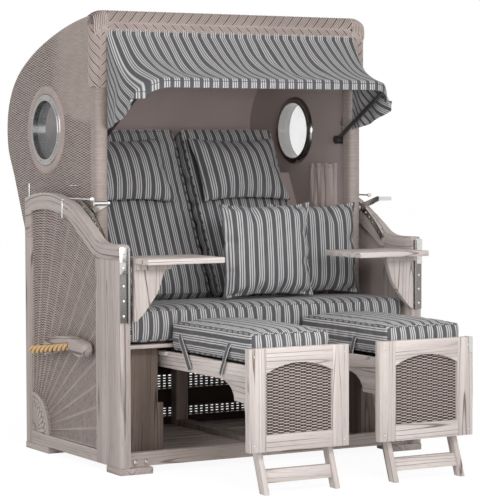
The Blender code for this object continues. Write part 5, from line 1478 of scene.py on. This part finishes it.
def makeStraps(name, look):
    straps = []
    for number, route in enumerate(look["routes"][name]):
        line = even(smoothLine([tuple(place(*spot)) for spot in route], 6), 20)[0]
        up = np.broadcast_to(np.array([-1.0, 0, 0.25]), line.shape)
        band = strand(f"strap{name}{number}", line, look["width"], look["thick"], up, 8)
        spread = unit(np.cross(np.gradient(line, axis=0), up))

        def pattern(at, normals):
            near, _ = nearOn(line, at)
            along = near / (len(line) - 1) * look["length"]
            return ((at - line[near]) * spread[near]).sum(axis=1) + look["middle"], along

        setCloth(band, pattern)
        straps.append(band)
    return straps


footSize = (0.316, 0.5727, 0.114)
footPad = makeCushion("footrest_pad_left", footSize, {**cushionSet, "cell": 0.0135, "crown": 0.008})
footPads = {"left": footPad, "right": twin(footPad, "footrest_pad_right")}
for name, side in sides.items():
    fitted(footPads[name], "footrest_cushion_" + name)
    pad = join("footrest_pad_" + name, makeStraps(name, strapSet) + [footPads[name]])
    finishPiece(pad, cloth, "footrest_" + name, ["footrest_cushion_" + name], 60)
    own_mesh(pad)
print("footrest pads filled")


awningSet = {"pivotY": -0.018, "pivotZ": 1.162, "reach": 0.420, "rise": math.radians(29), "half": 0.500,
             "corner": 0.080, "bar": 0.008, "side": 0.520, "sag": 0.030, "drop": 0.024, "rimLow": 1.200,
             "flare": 0.026, "hemSag": 0.022, "columns": 104, "skirt": 16, "rows": (4, 40, 6, 5),
             "thick": 0.0016, "cord": 0.0026, "cordBand": 0.0086}


def awningProfile(x, look):
    # the cloth's line in (y, z) at x: down from the rim, sagging to the bar, over it and down the valance
    offset = look["bar"] + 0.0035
    into = max(abs(x) - (look["half"] - look["corner"]), 0)
    straight = look["reach"] - look["corner"]
    inner = straight + math.sqrt(max(look["corner"] ** 2 - into ** 2, 0))
    outer = straight + math.sqrt(max((look["corner"] + offset) ** 2 - into ** 2, 0))
    lift = max(outer - inner, offset)
    start, leave = Vector((-0.0955, 1.559)), Vector((-0.0962, 1.537))
    rise = look["rise"]
    bar = Vector((look["pivotY"] - inner * math.cos(rise), look["pivotZ"] + inner * math.sin(rise)))
    slope = (bar - leave).normalized()
    normal = Vector((slope.y, -slope.x))
    touch = bar + normal * lift
    first, second, third, fourth = look["rows"]
    line = [start.lerp(leave, n / first) for n in range(first)]
    for n in range(second):
        t = n / second
        reach = math.sin(pi * t)
        ripple = 0.0052 * math.sin(2 * pi * x / 0.235 + 2.6 * t + 0.6)
        ripple += 0.0028 * math.sin(2 * pi * x / 0.092 + 5.2 * t)
        pull = 0.010 * math.exp(-((x + 0.40 - 0.16 * t) / 0.060) ** 2)
        pull += 0.008 * math.exp(-((x - 0.02 - 0.20 * t) / 0.045) ** 2)
        line.append(leave.lerp(touch, t) - normal * ((look["sag"] + pull) * reach + ripple * reach ** 1.5))
    turn = math.atan2(normal.y, normal.x)
    for n in range(third):
        angle = turn + (pi - turn) * n / third
        line.append(bar + Vector((math.cos(angle), math.sin(angle))) * lift)
    low = bar + Vector((-lift, 0))
    for n in range(fourth + 1):
        wave = 0.0016 * math.sin(2 * pi * x / 0.0385) * n / fourth
        line.append(low + Vector((wave, -look["drop"] * n / fourth)))
    return [(x, spot.x, spot.y) for spot in line]


def makeAwning(look):
    count, skirt = look["columns"], look["skirt"]
    rows = sum(look["rows"])
    xs = np.linspace(-look["side"], look["side"], count + 1)
    top = np.array([awningProfile(x, look) for x in xs])
    sheets = []
    for side, edge in ((-1, top[0]), (1, top[-1])):
        panel = []
        share = np.clip((np.arange(rows + 1) - look["rows"][0]) / (rows - look["rows"][0]), 0, 1)
        hem = look["rimLow"] + (edge[-1, 2] - look["rimLow"]) * share - look["hemSag"] * np.sin(pi * share)
        for n in range(1, skirt + 1):
            down = n / skirt
            wave = 0.0065 * np.sin(2 * pi * (2.4 * share + 0.35 * down)) * np.sin(pi * share) * down ** 0.7
            out = side * (look["flare"] * share * down + wave)
            z = edge[:, 2] + (np.minimum(edge[:, 2], hem) - edge[:, 2]) * down
            panel.append(np.column_stack([edge[:, 0] + out, edge[:, 1], z]))
        sheets.append(np.array(panel))
    grid = np.concatenate([sheets[0][::-1], top, sheets[1]])
    drops = np.linalg.norm(np.diff(grid, axis=0), axis=2)
    across = np.zeros(grid.shape[:2])
    middle = skirt + count // 2
    for n in range(middle, len(grid) - 1):
        across[n + 1] = across[n] + (drops[n] if n >= skirt + count else 2 * look["side"] / count)
    for n in range(middle, 0, -1):
        across[n - 1] = across[n] - (drops[n - 1] if n <= skirt else 2 * look["side"] / count)
    ways = np.linalg.norm(np.diff(grid, axis=1), axis=2)
    down = np.concatenate([np.zeros((len(grid), 1)), np.cumsum(ways, axis=1)], axis=1)
    total = len(grid) - 1

    def shape(u, v):
        i, j = np.rint(u * total).astype(int), np.rint(v * rows).astype(int)
        spots = grid[i, j] + np.array([0, shiftY, 0])
        return spots, {"across": across[i, j], "down": down[i, j]}

    sheet = gridPiece("awning_cloth", total, rows, shape, merge=False)
    faceAlong(sheet, (0, 0, 1))
    layCloth(sheet, lambda corners: [fieldValues(sheet, name)[corners] for name in ("across", "down")])
    apply(sheet, "SOLIDIFY", thickness=look["thick"], offset=0)
    cords = [sheet]
    fold = look["rows"][0] + look["rows"][1] + look["rows"][2]
    lines = [grid[skirt:skirt + count + 1, fold], grid[:, -1]]
    for number, route in enumerate(lines):
        line = even(route + np.array([0, shiftY - (0.0008 if number == 0 else 0), 0]), 260)[0]
        cord = strand(f"awningCord{number}", line, look["cord"], look["cord"], (0, -1, 0.05), 6)
        setCloth(cord, lambda at, normals: (at[:, 0] * 0 + look["cordBand"], at[:, 0]))
        cords.append(cord)
    awning = join("awning_cloth", cords)
    finishPiece(awning, cloth, None, ["awning_fabric"], 60)
    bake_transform(awning)


makeAwning(awningSet)
print("awning hung")


pocketSet = {"wall": 0.5280, "front": 0.025, "rear": 0.225, "low": 0.860, "high": 1.070, "depth": 0.021,
             "folds": 4.3, "thick": 0.0014}


def makePocket(look):
    # a gathered pouch, fullest above its foot and drawn in by the elastic at its mouth
    middle, half = (look["front"] + look["rear"]) / 2, (look["rear"] - look["front"]) / 2

    def shape(u, v):
        s = 2 * u - 1
        full = np.clip(4 * v, 0, 1) ** 0.7 * (1 - 0.30 * v * v) - 0.16 * np.exp(-((v - 0.93) / 0.03) ** 2)
        drift = u + 0.10 * np.sin(3 * u + 2.2 * v)
        gather = 1 + (0.12 + 0.14 * v ** 2) * np.sin(2 * pi * look["folds"] * drift)
        fine = 0.07 * np.sin(2 * pi * 7.3 * (u + 0.04 * np.sin(4 * v)) + 1.0)
        gather += fine + 0.05 * v * np.sin(2 * pi * 17 * u + 2)
        depth = look["depth"] * np.sqrt(np.clip(1 - s ** 4, 0, 1)) * full * gather
        z = look["low"] + (look["high"] - look["low"]) * v + 0.002 * np.sin(2 * pi * look["folds"] * u) * v
        return np.column_stack([look["wall"] - 0.0012 - depth, middle + half * s + shiftY, z])

    pouch = gridPiece("side_pouch", 110, 44, shape, merge=False)
    faceAlong(pouch, (-1, 0, 0))
    apply(pouch, "SOLIDIFY", thickness=look["thick"], offset=0)
    finishPiece(pouch, lining, "hood", ["side_pocket"], 60)


makePocket(pocketSet)
print("pocket sewn on")


def makePorthole(side, name, look):
    # one turned sleeve with a rounded flange on each face of the wall
    profile = [(0.5146, 0.1104), (0.5680, 0.1104), (0.5695, 0.1124), (0.5697, 0.1180), (0.5680, 0.1200),
               (0.5680, 0.1235), (0.5690, 0.1255), (0.5680, 0.1305), (0.5640, 0.1345), (0.5604, 0.1350),
               (0.5604, 0.1150), (0.5296, 0.1150), (0.5296, 0.1350), (0.5260, 0.1345), (0.5200, 0.1315),
               (0.5170, 0.1260), (0.5180, 0.1210), (0.5160, 0.1170), (0.5146, 0.1140)]
    count = len(profile)
    loop = np.array(profile + profile[:1])

    def shape(u, v):
        index = np.rint(v * count).astype(int)
        angle = 2 * pi * u
        return circled(side * loop[index, 0], look, loop[index, 1], angle)

    sleeve = gridPiece("porthole_sleeve_" + name, 120, count, shape)
    heads = screwRing(look, 6, 0.25, side * 0.5185, 0.1245, -side, 0.0046)
    sleeve = join("porthole_sleeve_" + name, heads + [sleeve])
    finishPiece(sleeve, flangeSteel, "hood", ["porthole_" + name], 40)


flangeSteel = polishedMetal("flange_steel", tone(158, 156, 155), 0.10)
onBothSides(makePorthole, ringSet)
print("porthole sleeves turned")


def rod(name, start, end, radius):
    line = even([tuple(place(*start)), tuple(place(*end))], 3)[0]
    along = Vector(line[-1] - line[0])
    return strand(name, line, radius * 2, radius * 2, tuple(along.orthogonal()), 12)


def screwLine(name, spots, way, size):
    return [screwHead(f"{name}{number}", place(*spot), way, size) for number, spot in enumerate(spots)]


def makeFittings(side, name):
    s = side
    fixed = [
        plate("postPlate", (s * 0.6130 - 0.0145, -0.4090, 0.698), (s * 0.6130 + 0.0145, -0.4067, 0.790)),
        plate("archStrap", (s * 0.6268 - 0.0008, 0.0585, 0.878),
              (s * 0.6268 + 0.0008, 0.0705, 0.942), 0.0004),
        plate("archOver", (s * 0.6070 - 0.0205, 0.0585, 0.9445),
              (s * 0.6070 + 0.0205, 0.0705, 0.9462), 0.0004),
        rod("latchRod", (s * 0.596, 0.0640, 0.9490), (s * 0.588, -0.1080, 0.9490), 0.0032),
        disc("rodKnob", place(s * 0.588, -0.1040, 0.9490), (0, -1, 0), 0.0080, 0.0090, 0.002),
        rod("rearPin", (s * 0.6260, 0.3600, 0.9520), (s * 0.6260, 0.3600, 1.0000), 0.0022),
    ]
    front = (0, -1, 0)
    fixed += screwLine("leafScrew", [(s * 0.6120, -0.4065, z) for z in (0.552, 0.604, 0.656)], front, 0.0048)
    fixed += screwLine("plateScrew", [(s * 0.6130, -0.4090, z) for z in (0.718, 0.770)], front, 0.0048)
    for z in (0.892, 0.926):
        fixed.append(disc("strapRivet", place(s * 0.6274, 0.0645, z), (s, 0, 0), 0.0032, 0.0014, 0.0005))
    finishPiece(join("arm_fittings_" + name, fixed), chrome, "base")
    hung = [
        rod("sidePin", (s * 0.5625, 0.0530, 0.9950), (s * 0.5625, 0.1340, 0.9950), 0.0020),
        plate("clampPlate", (s * 0.5235 - 0.0030, -0.0420, 1.148), (s * 0.5235 + 0.0030, -0.0150, 1.246)),
        disc("clampKnob", place(s * 0.5205, -0.0285, 1.225), (-s, 0, 0), 0.0090, 0.0100, 0.002),
    ]
    hung += screwLine("clampScrew", [(s * 0.5205, -0.0285, z) for z in (1.186, 1.205)], (-s, 0, 0), 0.0042)
    finishPiece(join("hood_fittings_" + name, hung), chrome, "hood")
    corners = [(s * footSet["centre"] + x, -0.9831, z) for z in (0.160, 0.452) for x in (-0.172, 0.172)]
    pulled = screwLine("panelScrew", corners, front, 0.0040)
    if side > 0:
        pulled.append(plate("strapFront", (0.4270, -0.9846, 0.424), (0.4410, -0.9832, 0.4795), 0.0004))
        pulled.append(plate("strapTop", (0.4270, -0.9846, 0.4783), (0.4410, -0.9560, 0.4797), 0.0004))
    finishPiece(join("footrest_fittings_" + name, pulled), chrome, "footrest_" + name)


onBothSides(makeFittings)
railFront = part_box("front_rail")[0][1] - shiftY
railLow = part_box("front_rail")[0][2] + 0.015
bolts = [disc(f"railBolt{number}", place(x, railFront, railLow), (0, -1, 0), 0.0085, 0.006, 0.002)
         for number, x in enumerate([-0.558, -0.515, 0.515, 0.558])]
finishPiece(join("rail_bolts", bolts), brushed, "base")
print("fittings placed")


studio = {"key": 22, "front": 44, "inner": 11, "fill": 66, "sky": 0.52, "glow": 1.095, "paper": 0.85}


def addLight(name, spot, target, size, watts):
    data = bpy.data.lights.new(name, "AREA")
    data.shape = "RECTANGLE"
    data.size, data.size_y = size
    data.energy = watts
    obj = addObject(name, data)
    obj.location = spot
    obj.rotation_euler = (Vector(target) - Vector(spot)).to_track_quat("-Z", "Y").to_euler()


def addStudio(look):
    addLight("key", (1.2, -4.6, 3.6), (0, -0.2, 0.7), (3.2, 2.4), look["key"])
    addLight("front", (-0.6, -5.0, 1.3), (0, 0.2, 1.0), (2.6, 1.6), look["front"])
    addLight("inner", (-0.35, -1.7, 1.22), (0.05, 0.5, 1.24), (1.0, 0.3), look["inner"])
    addLight("fill", (-4.4, -1.8, 2.2), (0, 0, 0.8), (3.0, 3.0), look["fill"])
    bpy.context.scene.world = bpy.data.worlds.new("studio")
    sky = Shader("studio", bpy.context.scene.world)
    strength = sky.add("ShaderNodeMapRange", {}, {"Value": sky.seen(), "To Min": look["sky"], "To Max": 1.0})
    shade = sky.add("ShaderNodeBackground", {}, {"Color": (1, 1, 1, 1), "Strength": strength})
    sky.end(shade, "ShaderNodeOutputWorld")


def addFloor(look):
    # white paper to the camera, matt grey to all other light
    deselect()
    bpy.ops.mesh.primitive_plane_add(size=60, location=(0, 0, -0.0004))
    floor = bpy.context.object
    floor.name = "floor"
    shader = Shader("floor")
    matte = shader.add("ShaderNodeBsdfDiffuse", {}, {"Color": (0.82, 0.82, 0.82, 1)})
    white = shader.add("ShaderNodeEmission", {}, {"Color": (1, 1, 1, 1), "Strength": look["glow"]})
    both = shader.add("ShaderNodeMixShader", {}, {0: shader.seen() * look["paper"], 1: matte, 2: white})
    floor.data.materials.append(shader.end(both))


addStudio(studio)
addFloor(studio)
bpy.context.scene.view_settings.view_transform = "Standard"
print("finished")
